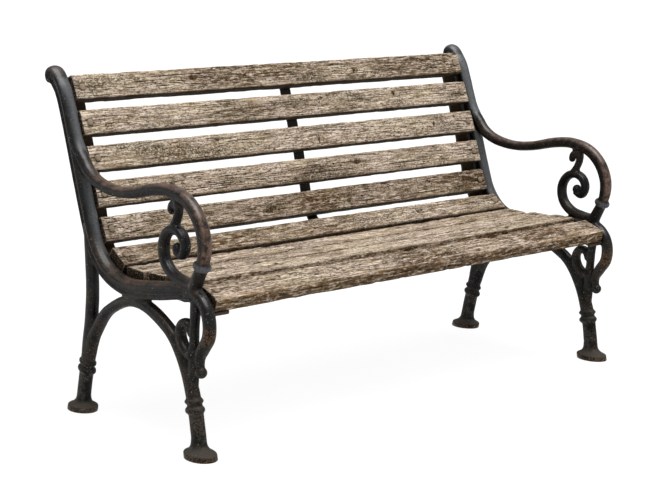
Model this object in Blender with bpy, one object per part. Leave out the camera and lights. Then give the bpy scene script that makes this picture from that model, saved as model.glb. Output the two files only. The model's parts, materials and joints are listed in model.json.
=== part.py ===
"""Park bench: two cast-iron end frames, ten timber slats, a bent centre strap and their fasteners.

Metres, +Z up. The bench runs along X and faces -Y. The origin lies on the ground under the middle of the bench.
"""
import math

import bmesh
import bpy
from mathutils import Matrix, Vector
from mathutils.geometry import interpolate_bezier

# Overall layout
FRAME_SPACING = 1.366
CLEARANCE = 0.0003
SLAT_END_GAP = 0.0015

# Timber slats
SLAT_THICKNESS = 0.036
BACK_SLAT_WIDTH = 0.065
SEAT_SLAT_WIDTH = 0.074
SLAT_EDGE_ROUND = 0.004

# Each slat's place: name, Y and Z of the middle of its face, and lean back from upright in degrees
BACK_SLATS = (
    ("back_slat_1", 0.2494, 0.7980, 23.5),
    ("back_slat_2", 0.2175, 0.7150, 20.5),
    ("back_slat_3", 0.1880, 0.6310, 20.0),
    ("back_slat_4", 0.1610, 0.5465, 18.5),
    ("back_slat_5", 0.1335, 0.4650, 23.0),
    ("back_slat_6", 0.0727, 0.4097, 57.0),
)
SEAT_SLATS = (
    ("seat_slat_1", 0.0025, 0.3888, 88.0),
    ("seat_slat_2", -0.0845, 0.3915, 92.5),
    ("seat_slat_3", -0.1755, 0.3962, 89.0),
    ("seat_slat_4", -0.2845, 0.3845, 72.0),
)

# Back and seat rail: a bead on the sitting side, a web and a rib behind it
RAIL_WIDTH = 0.038
RAIL_DEPTH = 0.042
RAIL_BEAD_DEPTH = 0.019
RAIL_WEB_WIDTH = 0.022
RAIL_RIB_WIDTH = 0.029
RAIL_RIB_DEPTH = 0.012
# Centre line Y and Z below the top scroll, down the back and along the seat, with the section's scale
RAIL_PATH = (
    (0.2685, 0.7890, 0.98),
    (0.2435, 0.7299, 1.0),
    (0.2015, 0.6000, 1.0),
    (0.1620, 0.4800, 1.0),
    (0.1380, 0.4240, 1.0),
    (0.0910, 0.3760, 1.04),
    (0.0270, 0.3530, 1.06),
    (-0.0330, 0.3505, 1.08),
    (-0.1310, 0.3635, 1.08),
    (-0.2030, 0.3760, 1.0),
    (-0.2560, 0.3810, 0.85),
)

# Rolled scroll at the top of the back
SCROLL_PLACE = (0.3024, 0.8225)
SCROLL_RADIUS = 0.0275
SCROLL_WIDTH = 0.031
SCROLL_EYE_RADIUS = 0.0205
SCROLL_EYE_DEPTH = 0.006
SCROLL_BOSS_RADIUS = 0.007
SCROLL_ROOT_SCALE = 0.86

# Bars: width across the frame, then Y, Z and thickness along each centre line
LEG_WIDTH = 0.030
LEG_ARCH_PATH = (
    (0.2185, 0.0060, 0.042),
    (0.1905, 0.1200, 0.042),
    (0.1785, 0.1580, 0.046),
    (0.1495, 0.2085, 0.032),
    (0.0822, 0.2796, 0.027),
    (-0.0354, 0.3205, 0.030),
    (-0.1605, 0.2800, 0.030),
    (-0.2175, 0.2178, 0.032),
    (-0.2540, 0.1328, 0.040),
    (-0.2780, 0.0060, 0.042),
)
REAR_BAR_WIDTH = 0.031
REAR_BAR_PATH = (
    (0.1640, 0.4800, 0.028),
    (0.1590, 0.3900, 0.033),
    (0.1580, 0.3150, 0.034),
    (0.1660, 0.2450, 0.035),
    (0.1820, 0.1700, 0.036),
)
ARM_WIDTH = 0.0315
ARM_PATH = (
    (0.2035, 0.6680, 0.016),
    (0.1810, 0.6280, 0.030),
    (0.1560, 0.6010, 0.032),
    (0.1100, 0.5810, 0.029),
    (0.0420, 0.5715, 0.027),
    (-0.0290, 0.5770, 0.027),
    (-0.1140, 0.5950, 0.029),
    (-0.1755, 0.5995, 0.030),
    (-0.2330, 0.5870, 0.031),
    (-0.2735, 0.5575, 0.032),
    (-0.2970, 0.5160, 0.032),
    (-0.3005, 0.4800, 0.030),
    (-0.2905, 0.4450, 0.025),
    (-0.2690, 0.4040, 0.030),
    (-0.2580, 0.3800, 0.032),
)
FRONT_SCROLL_WIDTH = 0.031
FRONT_SCROLL_PATH = (
    (-0.2380, 0.3800, 0.030),
    (-0.2665, 0.3790, 0.030),
    (-0.2925, 0.3650, 0.030),
    (-0.3095, 0.3430, 0.030),
    (-0.3160, 0.3150, 0.030),
    (-0.3115, 0.2850, 0.030),
    (-0.2915, 0.2560, 0.028),
    (-0.2790, 0.2320, 0.021),
    (-0.2835, 0.2015, 0.014),
)
FRONT_BALL_RADIUS = 0.0138
FRONT_STRUT_WIDTH = 0.023
FRONT_STRUT_PATH = (
    (-0.2660, 0.3620, 0.030),
    (-0.2640, 0.3400, 0.026),
    (-0.2605, 0.3050, 0.022),
    (-0.2580, 0.2650, 0.022),
    (-0.2560, 0.2380, 0.029),
    (-0.2525, 0.1750, 0.030),
    (-0.2505, 0.1460, 0.026),
)
FRONT_CURL_WIDTH = 0.028
FRONT_CURL_PATH = (
    (-0.2440, 0.2320, 0.025),
    (-0.2160, 0.2540, 0.024),
    (-0.2065, 0.2820, 0.023),
    (-0.2190, 0.3035, 0.023),
    (-0.2400, 0.3030, 0.021),
    (-0.2480, 0.2850, 0.016),
)
FRONT_CURL_BALL_RADIUS = 0.0098
# Knot where the strut, the curl and the front scroll meet, at this point of the strut
FRONT_KNOT_POINT = 4
FRONT_KNOT_RADIUS = 0.0185

# Spiral under the arm: an even spiral round its eye, led in from the front of the seat rail
SPIRAL_PLACE = (-0.2000, 0.4725)
SPIRAL_WIDTH = 0.028
SPIRAL_THICKNESS = (0.028, 0.019)
SPIRAL_RADII = (0.0655, 0.0215)
SPIRAL_ANGLES = (-75.0, 225.0)
SPIRAL_POINTS = 9
SPIRAL_LEAD_IN = ((-0.2670, 0.3930, 0.034), (-0.2290, 0.3980, 0.029))
SPIRAL_BALL_RADIUS = 0.0132

# Stem that ties the spiral to the arm, from its angle on the spiral, with its leaf curl
STEM_WIDTH = 0.024
STEM_ANGLE = 68.0
STEM_PATH = (
    (-0.1970, 0.5360, 0.018),
    (-0.2055, 0.5580, 0.018),
    (-0.2030, 0.5890, 0.023),
)
LEAF_WIDTH = 0.022
LEAF_PATH = (
    (-0.2040, 0.5650, 0.022),
    (-0.1925, 0.5720, 0.022),
    (-0.1815, 0.5665, 0.020),
    (-0.1785, 0.5560, 0.017),
)
LEAF_BALL_RADIUS = 0.0095

# Rings on the arm and the legs, and the feet; those of the legs are ovals, narrower across the frame
ARM_RING_POINT = 12
ARM_RING_RADIUS = 0.0215
ARM_RING_LENGTH = 0.019
COLLAR_HEIGHT = 0.118
COLLAR_LENGTH = 0.040
COLLAR_RADIUS = 0.0275
COLLAR_OVAL = 0.73
FOOT_RADIUS = 0.0468
FOOT_OVAL = 0.75
FOOT_PAD_HEIGHT = 0.015
FOOT_NECK_HEIGHT = 0.036
FOOT_NECK_RADIUS = 0.0215

# Flange inside each frame that carries the slat ends
FLANGE_THICKNESS = 0.009
FLANGE_ROOT = 0.004
FLANGE_MARGIN = 0.021
FLANGE_OVERRUN = 0.004
FLANGE_FRONT_INSET = 0.005

# Centre strap
STRAP_WIDTH = 0.034
STRAP_PLACE_X = 0.0135
STRAP_THICKNESS = 0.005
STRAP_INSET = 0.007

# Slat bolts and nuts
BOLT_DIAMETER = 0.008
BOLT_HEAD_DIAMETER = 0.016
BOLT_HEAD_HEIGHT = 0.0045
BOLT_INSET = 0.0220
BOLT_TAIL = 0.003
NUT_ACROSS_FLATS = 0.013
NUT_HEIGHT = 0.0065

# Wood screws through the strap
SCREW_DIAMETER = 0.005
SCREW_HEAD_DIAMETER = 0.010
SCREW_HEAD_HEIGHT = 0.0032
SCREW_BITE = 0.017
SCREW_TIP_ROOM = 0.0015

# Mesh resolution: sides of a section, width over thickness at a bar's tapered tips,
# and the turn in degrees from one station to the next
BAR_SIDES = 8
CURL_SIDES = 8
TURNED_SIDES = 12
FASTENER_SIDES = 8
TIP_TAPER = 1.25
TURN_STEP = 21.0


def clear_scene():
    """Remove what the scene holds."""
    for item in list(bpy.data.objects):
        bpy.data.objects.remove(item, do_unlink=True)


def make_material(name, colour, roughness, metallic):
    """Return a Principled material of one colour."""
    material = bpy.data.materials.new(name)
    material.use_nodes = True
    shader = material.node_tree.nodes["Principled BSDF"]
    shader.inputs["Base Color"].default_value = (*colour, 1.0)
    shader.inputs["Roughness"].default_value = roughness
    shader.inputs["Metallic"].default_value = metallic
    material.diffuse_color = (*colour, 1.0)
    return material


def mesh_from_bmesh(name, shape):
    """Turn a closed bmesh into a mesh whose faces point outwards."""
    bmesh.ops.recalc_face_normals(shape, faces=shape.faces)
    mesh = bpy.data.meshes.new(name)
    shape.to_mesh(mesh)
    shape.free()
    return mesh


def add_object(name, mesh, matrix=None):
    """Link an object of a mesh to the scene."""
    item = bpy.data.objects.new(name, mesh)
    bpy.context.scene.collection.objects.link(item)
    if matrix is not None:
        item.matrix_world = matrix
    return item


def boolean_mesh(name, base, others, operation):
    """Join or cut meshes and return the resulting mesh."""
    body = add_object(name, base)
    tools = [add_object(f"{name}_tool", mesh) for mesh in others]
    for tool in tools:
        step = body.modifiers.new("join", "BOOLEAN")
        step.operation = operation
        step.object = tool
    graph = bpy.context.evaluated_depsgraph_get()
    result = bpy.data.meshes.new_from_object(body.evaluated_get(graph))
    result.name = name
    for item in (body, *tools):
        bpy.data.objects.remove(item, do_unlink=True)
    return result


def joined_mesh(name, meshes):
    """Gather meshes into one without uniting them."""
    shape = bmesh.new()
    for mesh in meshes:
        shape.from_mesh(mesh)
    return mesh_from_bmesh(name, shape)


def loft(name, rings):
    """Skin a row of rings and close both ends with flat caps."""
    shape = bmesh.new()
    loops = [[shape.verts.new(point) for point in ring] for ring in rings]
    for first, second in zip(loops, loops[1:]):
        for index, corner in enumerate(first):
            after = (index + 1) % len(first)
            shape.faces.new((corner, first[after], second[after], second[index]))
    shape.faces.new(loops[0])
    shape.faces.new(loops[-1])
    return mesh_from_bmesh(name, shape)


def smooth_stations(path):
    """Run a smooth curve through a path's points, with stations where it turns.

    Returns rows of point, tangent and size, in the plane of Y and Z.
    """
    points = [Vector((0.0, y, z)) for y, z, _ in path]
    sizes = [size for _, _, size in path]
    last = len(points) - 1
    slopes = [(points[min(i + 1, last)] - points[max(i - 1, 0)]).normalized() for i in range(last + 1)]
    rows = []
    for i in range(last):
        reach = (points[i + 1] - points[i]).length
        turn = math.degrees(slopes[i].angle(slopes[i + 1]))
        count = max(2, math.ceil(turn / TURN_STEP) + 1)
        handles = (points[i] + slopes[i] * reach / 3, points[i + 1] - slopes[i + 1] * reach / 3)
        run = interpolate_bezier(points[i], *handles, points[i + 1], count)
        for j, point in enumerate(run[:-1] if i < last - 1 else run):
            share = j / (count - 1)
            rows.append((point, sizes[i] * (1 - share) + sizes[i + 1] * share))
    places = [point for point, _ in rows]
    end = len(places) - 1
    tangents = [(places[min(k + 1, end)] - places[max(k - 1, 0)]).normalized() for k in range(end + 1)]
    return [(place, tangent, size) for (place, size), tangent in zip(rows, tangents)]


def sweep(name, path, section):
    """Sweep a section along a smooth path; section(size) gives its X and outward places."""
    rings = []
    for place, tangent, size in smooth_stations(path):
        outward = Vector((0.0, tangent.z, -tangent.y))
        rings.append([place + Vector((x, 0.0, 0.0)) + outward * out for x, out in section(size)])
    return loft(name, rings)


def bar(name, path, width, sides=BAR_SIDES):
    """Sweep an oval bar of one width across the frame, narrower only where it tapers to a tip."""
    def section(size):
        across = min(width, size * TIP_TAPER)
        turns = [2 * math.pi * (k + 0.5) / sides for k in range(sides)]
        return [(across / 2 * math.cos(a), size / 2 * math.sin(a)) for a in turns]
    return sweep(name, path, section)


def turned(name, profile, matrix, sides=TURNED_SIDES):
    """Turn a profile of radius and height about local Z and place it."""
    rings = []
    for radius, height in profile:
        turns = [2 * math.pi * (k + 0.5) / sides for k in range(sides)]
        rings.append([matrix @ Vector((radius * math.cos(a), radius * math.sin(a), height)) for a in turns])
    return loft(name, rings)


def in_frame(place, lean=0.0):
    """Return the matrix of a place in a frame's plane, with local Z leaned about X by degrees."""
    return Matrix.Translation((0.0, *place)) @ Matrix.Rotation(math.radians(lean), 4, "X")


def ball(name, place, radius):
    """Make a ball end in a frame's plane, with its poles along X."""
    steps = [math.radians(a) for a in (-70, -35, 0, 35, 70)]
    profile = [(radius * math.cos(a), radius * math.sin(a)) for a in steps]
    across = in_frame(place) @ Matrix.Rotation(math.pi / 2, 4, "Y")
    return turned(name, profile, across, CURL_SIDES)


def rail_section(size):
    """Give the rail's section: an oval bead, a narrower web and a rib behind it."""
    front = RAIL_DEPTH / 2
    bead_middle = front - RAIL_BEAD_DEPTH / 2
    bead = [math.radians(a) for a in (66, 22, -22)]
    half = [(RAIL_WIDTH / 2 * math.cos(a), bead_middle + RAIL_BEAD_DEPTH / 2 * math.sin(a)) for a in bead]
    rib_start = -front + RAIL_RIB_DEPTH
    half.append((RAIL_WEB_WIDTH / 2, front - RAIL_BEAD_DEPTH))
    half.append((RAIL_WEB_WIDTH / 2, rib_start))
    half.append((RAIL_RIB_WIDTH / 2, -front + RAIL_RIB_DEPTH / 2))
    half.append((RAIL_RIB_WIDTH / 3, -front))
    other = [(-x, out) for x, out in reversed(half)]
    return [(x * min(size, 1.0), out * size) for x, out in half + other]


def spiral_point(angle):
    """Return the spiral's Y, Z and thickness at an angle in degrees."""
    share = (angle - SPIRAL_ANGLES[0]) / (SPIRAL_ANGLES[1] - SPIRAL_ANGLES[0])
    radius = SPIRAL_RADII[0] + (SPIRAL_RADII[1] - SPIRAL_RADII[0]) * share
    thickness = SPIRAL_THICKNESS[0] + (SPIRAL_THICKNESS[1] - SPIRAL_THICKNESS[0]) * share
    turn = math.radians(angle)
    return SPIRAL_PLACE[0] + radius * math.cos(turn), SPIRAL_PLACE[1] + radius * math.sin(turn), thickness


def spiral_path():
    """List the spiral's points from its lead-in to its eye."""
    step = (SPIRAL_ANGLES[1] - SPIRAL_ANGLES[0]) / (SPIRAL_POINTS - 1)
    turns = [spiral_point(SPIRAL_ANGLES[0] + step * k) for k in range(SPIRAL_POINTS)]
    eye = (SPIRAL_PLACE[0] + SPIRAL_BALL_RADIUS / 3, SPIRAL_PLACE[1] - SPIRAL_BALL_RADIUS / 2)
    return [*SPIRAL_LEAD_IN, *turns, (*eye, SPIRAL_THICKNESS[1])]


def rail_path():
    """List the rail's points from inside the top scroll down the back and along the seat."""
    below = (Vector(RAIL_PATH[0][:2]) - Vector(SCROLL_PLACE)).normalized()
    root = Vector(SCROLL_PLACE) + below * SCROLL_RADIUS * SCROLL_ROOT_SCALE
    return [(*root, SCROLL_ROOT_SCALE), *RAIL_PATH]


def top_scroll():
    """Turn the rolled top of the back, with a hollow eye and a boss on each face."""
    half = [
        (SCROLL_BOSS_RADIUS * 0.6, SCROLL_WIDTH / 2 - SCROLL_EYE_DEPTH * 0.4),
        (SCROLL_BOSS_RADIUS, SCROLL_WIDTH / 2 - SCROLL_EYE_DEPTH),
        (SCROLL_EYE_RADIUS, SCROLL_WIDTH / 2 - SCROLL_EYE_DEPTH),
        ((SCROLL_EYE_RADIUS + SCROLL_RADIUS) / 2, SCROLL_WIDTH / 2),
        (SCROLL_RADIUS, SCROLL_WIDTH / 2 - SCROLL_EYE_DEPTH),
    ]
    profile = half + [(radius, -height) for radius, height in reversed(half)]
    across = in_frame(SCROLL_PLACE) @ Matrix.Rotation(math.pi / 2, 4, "Y")
    return turned("top_scroll", profile, across, TURNED_SIDES + 2)


def foot(name, ankle):
    """Shape an oval foot with a flat sole and a neck that runs into the leg."""
    profile = [
        (FOOT_RADIUS, 0.0),
        (FOOT_RADIUS, FOOT_PAD_HEIGHT * 0.7),
        (FOOT_RADIUS * 0.88, FOOT_PAD_HEIGHT),
        (FOOT_NECK_RADIUS * 1.4, FOOT_PAD_HEIGHT * 1.35),
        (FOOT_NECK_RADIUS, FOOT_NECK_HEIGHT),
    ]
    oval = Matrix.Diagonal((FOOT_OVAL, 1.0, 1.0, 1.0))
    return turned(name, profile, in_frame((ankle[0], 0.0)) @ oval, TURNED_SIDES + 4)


def collar(name, ankle, knee):
    """Shape an oval double ring round a leg, square to the leg's run."""
    share = (COLLAR_HEIGHT - ankle[1]) / (knee[1] - ankle[1])
    place = (ankle[0] + (knee[0] - ankle[0]) * share, COLLAR_HEIGHT)
    lean = math.degrees(math.atan2(ankle[0] - knee[0], knee[1] - ankle[1]))
    inner = ankle[2] / 2 * 0.9
    groove = (inner + COLLAR_RADIUS) / 2
    half = COLLAR_LENGTH / 2
    rise = [
        (inner, -half),
        (COLLAR_RADIUS, -half * 0.75),
        (COLLAR_RADIUS, -half * 0.3),
        (groove, 0.0),
    ]
    profile = rise + [(radius, -height) for radius, height in reversed(rise[:-1])]
    oval = Matrix.Diagonal((COLLAR_OVAL, 1.0, 1.0, 1.0))
    return turned(name, profile, in_frame(place, lean) @ oval)


def arm_ring():
    """Turn the ring at the foot of the arm, square to the arm's run."""
    before, place, after = (Vector(ARM_PATH[ARM_RING_POINT + k][:2]) for k in (-1, 0, 1))
    run = before - after
    lean = math.degrees(math.atan2(-run.x, run.y))
    profile = [
        (ARM_RING_RADIUS * 0.55, -ARM_RING_LENGTH / 2),
        (ARM_RING_RADIUS * 0.93, -ARM_RING_LENGTH / 4),
        (ARM_RING_RADIUS, 0.0),
        (ARM_RING_RADIUS * 0.93, ARM_RING_LENGTH / 4),
        (ARM_RING_RADIUS * 0.55, ARM_RING_LENGTH / 2),
    ]
    return turned("arm_ring", profile, in_frame(place, lean))


def slat_places():
    """List every slat's name, width and matrix; local Z is the face's normal and local Y runs up the face."""
    rows = []
    for slats, width in ((BACK_SLATS, BACK_SLAT_WIDTH), (SEAT_SLATS, SEAT_SLAT_WIDTH)):
        for name, y, z, lean in slats:
            rows.append((name, width, in_frame((y, z), 90.0 - lean)))
    return rows


def slat_length():
    """Return a slat's length between the two rails."""
    return FRAME_SPACING - RAIL_WIDTH - 2 * SLAT_END_GAP


def bolt_reach():
    """Return a bolt's X distance from the middle of the bench."""
    return slat_length() / 2 - BOLT_INSET


def screw_place():
    """Return a strap screw's place on a slat."""
    return Matrix.Translation((STRAP_PLACE_X, 0.0, 0.0))


def bearing_line(overrun):
    """Give the line that touches the back of every slat, from the top of the back to the front of the seat."""
    depth = -(SLAT_THICKNESS + CLEARANCE)
    line = []
    for _, width, matrix in slat_places():
        reach = width / 2 + overrun
        line.append(matrix @ Vector((0.0, reach, depth)))
        line.append(matrix @ Vector((0.0, -reach, depth)))
    return line


def bent_strip(name, line, thickness, left, right):
    """Bend a flat strip along a line, with its thickness on the far side from the slats."""
    rings = []
    last = len(line) - 1
    for index, place in enumerate(line):
        before = (place - line[max(index - 1, 0)]).normalized()
        after = (line[min(index + 1, last)] - place).normalized()
        before = before if index > 0 else after
        after = after if index < last else before
        tangent = (before + after).normalized()
        away = Vector((0.0, -tangent.z, tangent.y))
        drop = away * thickness / max(0.5, tangent.dot(after))
        edges = (Vector((left, 0.0, 0.0)), Vector((right, 0.0, 0.0)))
        rings.append([place + edges[0], place + edges[1], place + edges[1] + drop, place + edges[0] + drop])
    return loft(name, rings)


def rod(name, diameter, top, bottom, matrix, sides=FASTENER_SIDES):
    """Make a plain rod between two heights of a local frame."""
    return turned(name, [(diameter / 2, bottom), (diameter / 2, top)], matrix, sides)


def frame_mesh():
    """Unite the bars, turned parts and flange of one casting, with its flange on the +X side."""
    rear_ankle, rear_knee = LEG_ARCH_PATH[0], LEG_ARCH_PATH[1]
    front_ankle, front_knee = LEG_ARCH_PATH[-1], LEG_ARCH_PATH[-2]
    flange_edge = RAIL_WIDTH / 2 + SLAT_END_GAP + BOLT_INSET + FLANGE_MARGIN
    flange_line = bearing_line(FLANGE_OVERRUN)
    flange_line[-1] += (flange_line[-2] - flange_line[-1]).normalized() * FLANGE_FRONT_INSET
    solids = [
        bar("leg_arch", LEG_ARCH_PATH, LEG_WIDTH),
        bar("rear_bar", REAR_BAR_PATH, REAR_BAR_WIDTH),
        bar("arm", ARM_PATH, ARM_WIDTH),
        bar("front_scroll", FRONT_SCROLL_PATH, FRONT_SCROLL_WIDTH),
        bar("front_strut", FRONT_STRUT_PATH, FRONT_STRUT_WIDTH, CURL_SIDES),
        bar("front_curl", FRONT_CURL_PATH, FRONT_CURL_WIDTH, CURL_SIDES),
        bar("spiral", spiral_path(), SPIRAL_WIDTH, CURL_SIDES),
        bar("stem", (spiral_point(STEM_ANGLE), *STEM_PATH), STEM_WIDTH, CURL_SIDES),
        bar("leaf", LEAF_PATH, LEAF_WIDTH, CURL_SIDES),
        ball("front_ball", FRONT_SCROLL_PATH[-1][:2], FRONT_BALL_RADIUS),
        ball("front_curl_ball", FRONT_CURL_PATH[-1][:2], FRONT_CURL_BALL_RADIUS),
        ball("front_knot", FRONT_STRUT_PATH[FRONT_KNOT_POINT][:2], FRONT_KNOT_RADIUS),
        ball("spiral_ball", SPIRAL_PLACE, SPIRAL_BALL_RADIUS),
        ball("leaf_ball", LEAF_PATH[-1][:2], LEAF_BALL_RADIUS),
        top_scroll(),
        foot("rear_foot", rear_ankle),
        foot("front_foot", front_ankle),
        collar("rear_collar", rear_ankle, rear_knee),
        collar("front_collar", front_ankle, front_knee),
        arm_ring(),
        bent_strip("flange", flange_line, FLANGE_THICKNESS, FLANGE_ROOT, flange_edge),
    ]
    rail = sweep("rail", rail_path(), rail_section)
    casting = boolean_mesh("end_frame", rail, solids, "UNION")
    hole_x = FRAME_SPACING / 2 - bolt_reach()
    holes = []
    for name, _, matrix in slat_places():
        through = SLAT_THICKNESS + FLANGE_THICKNESS * 2
        place = matrix @ Matrix.Translation((hole_x, 0.0, 0.0))
        holes.append(rod(f"{name}_hole", BOLT_DIAMETER + 2 * CLEARANCE, 0.0, -through, place))
    return boolean_mesh("end_frame", casting, [joined_mesh("holes", holes)], "DIFFERENCE")


def mirrored_mesh(name, mesh):
    """Return a mesh mirrored across the plane X = 0."""
    other = mesh.copy()
    other.name = name
    other.transform(Matrix.Scale(-1.0, 4, (1.0, 0.0, 0.0)))
    other.flip_normals()
    return other


def slat_mesh(name, width):
    """Make a slat with rounded edges, two bolt holes and a screw hole in its back."""
    shape = bmesh.new()
    bmesh.ops.create_cube(shape, size=1.0)
    bmesh.ops.scale(shape, vec=(slat_length(), width, SLAT_THICKNESS), verts=shape.verts)
    bmesh.ops.translate(shape, vec=(0.0, 0.0, -SLAT_THICKNESS / 2), verts=shape.verts)
    bmesh.ops.bevel(shape, geom=shape.edges, offset=SLAT_EDGE_ROUND, segments=1, profile=0.5, affect="EDGES")
    blank = mesh_from_bmesh(name, shape)
    holes = []
    for x in (-bolt_reach(), bolt_reach()):
        place = Matrix.Translation((x, 0.0, 0.0))
        holes.append(rod("bolt_hole", BOLT_DIAMETER + 2 * CLEARANCE, SLAT_THICKNESS, -2 * SLAT_THICKNESS, place))
    blind = -SLAT_THICKNESS + SCREW_BITE + SCREW_TIP_ROOM
    holes.append(rod("screw_hole", SCREW_DIAMETER + 2 * CLEARANCE, blind, -2 * SLAT_THICKNESS, screw_place()))
    return boolean_mesh(name, blank, [joined_mesh("holes", holes)], "DIFFERENCE")


def bolt_mesh():
    """Make a round-headed bolt; local Z = 0 is the slat's face."""
    radius = BOLT_HEAD_DIAMETER / 2
    tail = SLAT_THICKNESS + FLANGE_THICKNESS + NUT_HEIGHT + BOLT_TAIL + 2 * CLEARANCE
    dome = [(math.cos(math.radians(a)), math.sin(math.radians(a))) for a in (20, 65)]
    profile = [(BOLT_DIAMETER / 2, -tail), (BOLT_DIAMETER / 2, CLEARANCE), (radius, CLEARANCE)]
    profile += [(radius * c, CLEARANCE + BOLT_HEAD_HEIGHT * s) for c, s in dome]
    return turned("bolt", profile, Matrix.Identity(4), FASTENER_SIDES)


def nut_mesh():
    """Make a hexagon nut that bears on the far side of the flange."""
    top = -(SLAT_THICKNESS + FLANGE_THICKNESS + 2 * CLEARANCE)
    corner = NUT_ACROSS_FLATS / math.cos(math.pi / 6)
    hexagon = rod("nut", corner, top, top - NUT_HEIGHT, Matrix.Identity(4), 6)
    bore = rod("bore", BOLT_DIAMETER + 2 * CLEARANCE, 0.0, top - 2 * NUT_HEIGHT, Matrix.Identity(4))
    return boolean_mesh("nut", hexagon, [bore], "DIFFERENCE")


def screw_mesh():
    """Make a round-headed wood screw that runs through the strap into a slat."""
    seat = -(SLAT_THICKNESS + STRAP_THICKNESS + 2 * CLEARANCE)
    tip = -SLAT_THICKNESS + SCREW_BITE
    radius = SCREW_HEAD_DIAMETER / 2
    dome = [(math.cos(math.radians(a)), math.sin(math.radians(a))) for a in (65, 20)]
    profile = [(radius * c, seat - SCREW_HEAD_HEIGHT * s) for c, s in dome]
    profile += [(radius, seat), (SCREW_DIAMETER / 2, seat)]
    profile += [(SCREW_DIAMETER / 2, tip - SCREW_DIAMETER), (SCREW_DIAMETER / 6, tip)]
    return turned("strap_screw", profile, Matrix.Identity(4), FASTENER_SIDES)


def strap_mesh(screw):
    """Bend the centre strap, bored for the back's screws; the seat's screws are one piece with it."""
    line = bearing_line(FLANGE_OVERRUN)
    line[0] += (line[1] - line[0]).normalized() * (FLANGE_OVERRUN + STRAP_INSET)
    line[-1] = (line[-2] + line[-1]) / 2 + (line[-1] - line[-2]).normalized() * STRAP_WIDTH / 2
    edges = (STRAP_PLACE_X - STRAP_WIDTH / 2, STRAP_PLACE_X + STRAP_WIDTH / 2)
    strap = bent_strip("centre_strap", line, STRAP_THICKNESS, *edges)
    through = SLAT_THICKNESS + STRAP_THICKNESS * 2
    places = [matrix @ screw_place() for _, _, matrix in slat_places()]
    back = places[:len(BACK_SLATS)]
    seat = places[len(BACK_SLATS):]
    holes = [rod("hole", SCREW_DIAMETER + 2 * CLEARANCE, 0.0, -through, place) for place in back]
    strap = boolean_mesh("centre_strap", strap, [joined_mesh("holes", holes)], "DIFFERENCE")
    heads = []
    for place in seat:
        head = screw.copy()
        head.transform(place @ Matrix.Translation((0.0, 0.0, 2 * CLEARANCE)))
        heads.append(head)
    return boolean_mesh("centre_strap", strap, heads, "UNION")


def place_part(name, mesh, material, root, matrix):
    """Add one piece with its finish, rounded shading and place under the bench's root."""
    if not mesh.materials:
        mesh.materials.append(material)
    mesh.shade_smooth()
    mesh.set_sharp_from_angle(angle=math.radians(35))
    item = add_object(name, mesh, matrix)
    item.parent = root
    return item


def main():
    """Build the bench."""
    clear_scene()
    iron = make_material("cast_iron", (0.055, 0.054, 0.056), 0.52, 0.85)
    timber = make_material("weathered_timber", (0.30, 0.235, 0.165), 0.88, 0.0)
    strap_iron = make_material("strap_iron", (0.045, 0.042, 0.040), 0.62, 0.8)
    steel = make_material("fastener_steel", (0.13, 0.10, 0.08), 0.60, 0.85)
    root = add_object("park_bench", None)

    left = frame_mesh()
    right = mirrored_mesh("end_frame_right", left)
    half = FRAME_SPACING / 2
    place_part("end_frame_left", left, iron, root, Matrix.Translation((-half, 0.0, 0.0)))
    place_part("end_frame_right", right, iron, root, Matrix.Translation((half, 0.0, 0.0)))

    back_blank = slat_mesh("back_slat", BACK_SLAT_WIDTH)
    seat_blank = slat_mesh("seat_slat", SEAT_SLAT_WIDTH)
    bolt = bolt_mesh()
    nut = nut_mesh()
    screw = screw_mesh()
    place_part("centre_strap", strap_mesh(screw), strap_iron, root, Matrix.Identity(4))
    for index, (name, _, matrix) in enumerate(slat_places()):
        is_back = index < len(BACK_SLATS)
        place_part(name, back_blank if is_back else seat_blank, timber, root, matrix)
        for side, x in (("left", -bolt_reach()), ("right", bolt_reach())):
            fixing = matrix @ Matrix.Translation((x, 0.0, 0.0))
            place_part(f"bolt_{name}_{side}", bolt, steel, root, fixing)
            place_part(f"nut_{name}_{side}", nut, steel, root, fixing)
        if is_back:
            place_part(f"strap_screw_{index + 1}", screw, steel, root, matrix @ screw_place())


main()
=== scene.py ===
"""Looks of a weathered park bench: two cast-iron end frames, ten timber slats, a strap and their fasteners.

Metres, +Z up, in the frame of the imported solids. The bench runs along X and faces -Y.
"""
from __future__ import annotations

import json
import logging
import math
from collections.abc import Callable, Sequence
from dataclasses import dataclass, field
from enum import Enum

import bmesh
import bpy
import numpy as np
from mathutils import Matrix, Vector
from mathutils.geometry import interpolate_bezier

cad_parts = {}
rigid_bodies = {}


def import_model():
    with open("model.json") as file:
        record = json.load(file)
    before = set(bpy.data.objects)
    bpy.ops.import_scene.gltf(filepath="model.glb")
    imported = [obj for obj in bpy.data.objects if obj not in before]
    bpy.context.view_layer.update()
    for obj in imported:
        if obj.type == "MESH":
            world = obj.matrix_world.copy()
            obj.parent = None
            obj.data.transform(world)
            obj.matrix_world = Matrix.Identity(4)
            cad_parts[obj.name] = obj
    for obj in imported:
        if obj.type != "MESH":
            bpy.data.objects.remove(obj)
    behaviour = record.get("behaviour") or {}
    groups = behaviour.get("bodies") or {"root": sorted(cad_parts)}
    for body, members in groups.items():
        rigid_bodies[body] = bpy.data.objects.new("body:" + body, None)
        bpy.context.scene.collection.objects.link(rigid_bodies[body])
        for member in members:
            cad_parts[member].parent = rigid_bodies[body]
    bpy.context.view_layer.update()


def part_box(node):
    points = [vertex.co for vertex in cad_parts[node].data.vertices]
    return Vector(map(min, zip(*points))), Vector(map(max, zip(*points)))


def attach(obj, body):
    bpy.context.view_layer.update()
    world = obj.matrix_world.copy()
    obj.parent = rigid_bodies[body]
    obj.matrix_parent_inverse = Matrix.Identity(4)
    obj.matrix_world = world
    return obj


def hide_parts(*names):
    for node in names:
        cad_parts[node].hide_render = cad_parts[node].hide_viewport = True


BODY = "root"
FIRST_SEED = 31
SHARPEST_MITRE = 0.5
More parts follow.
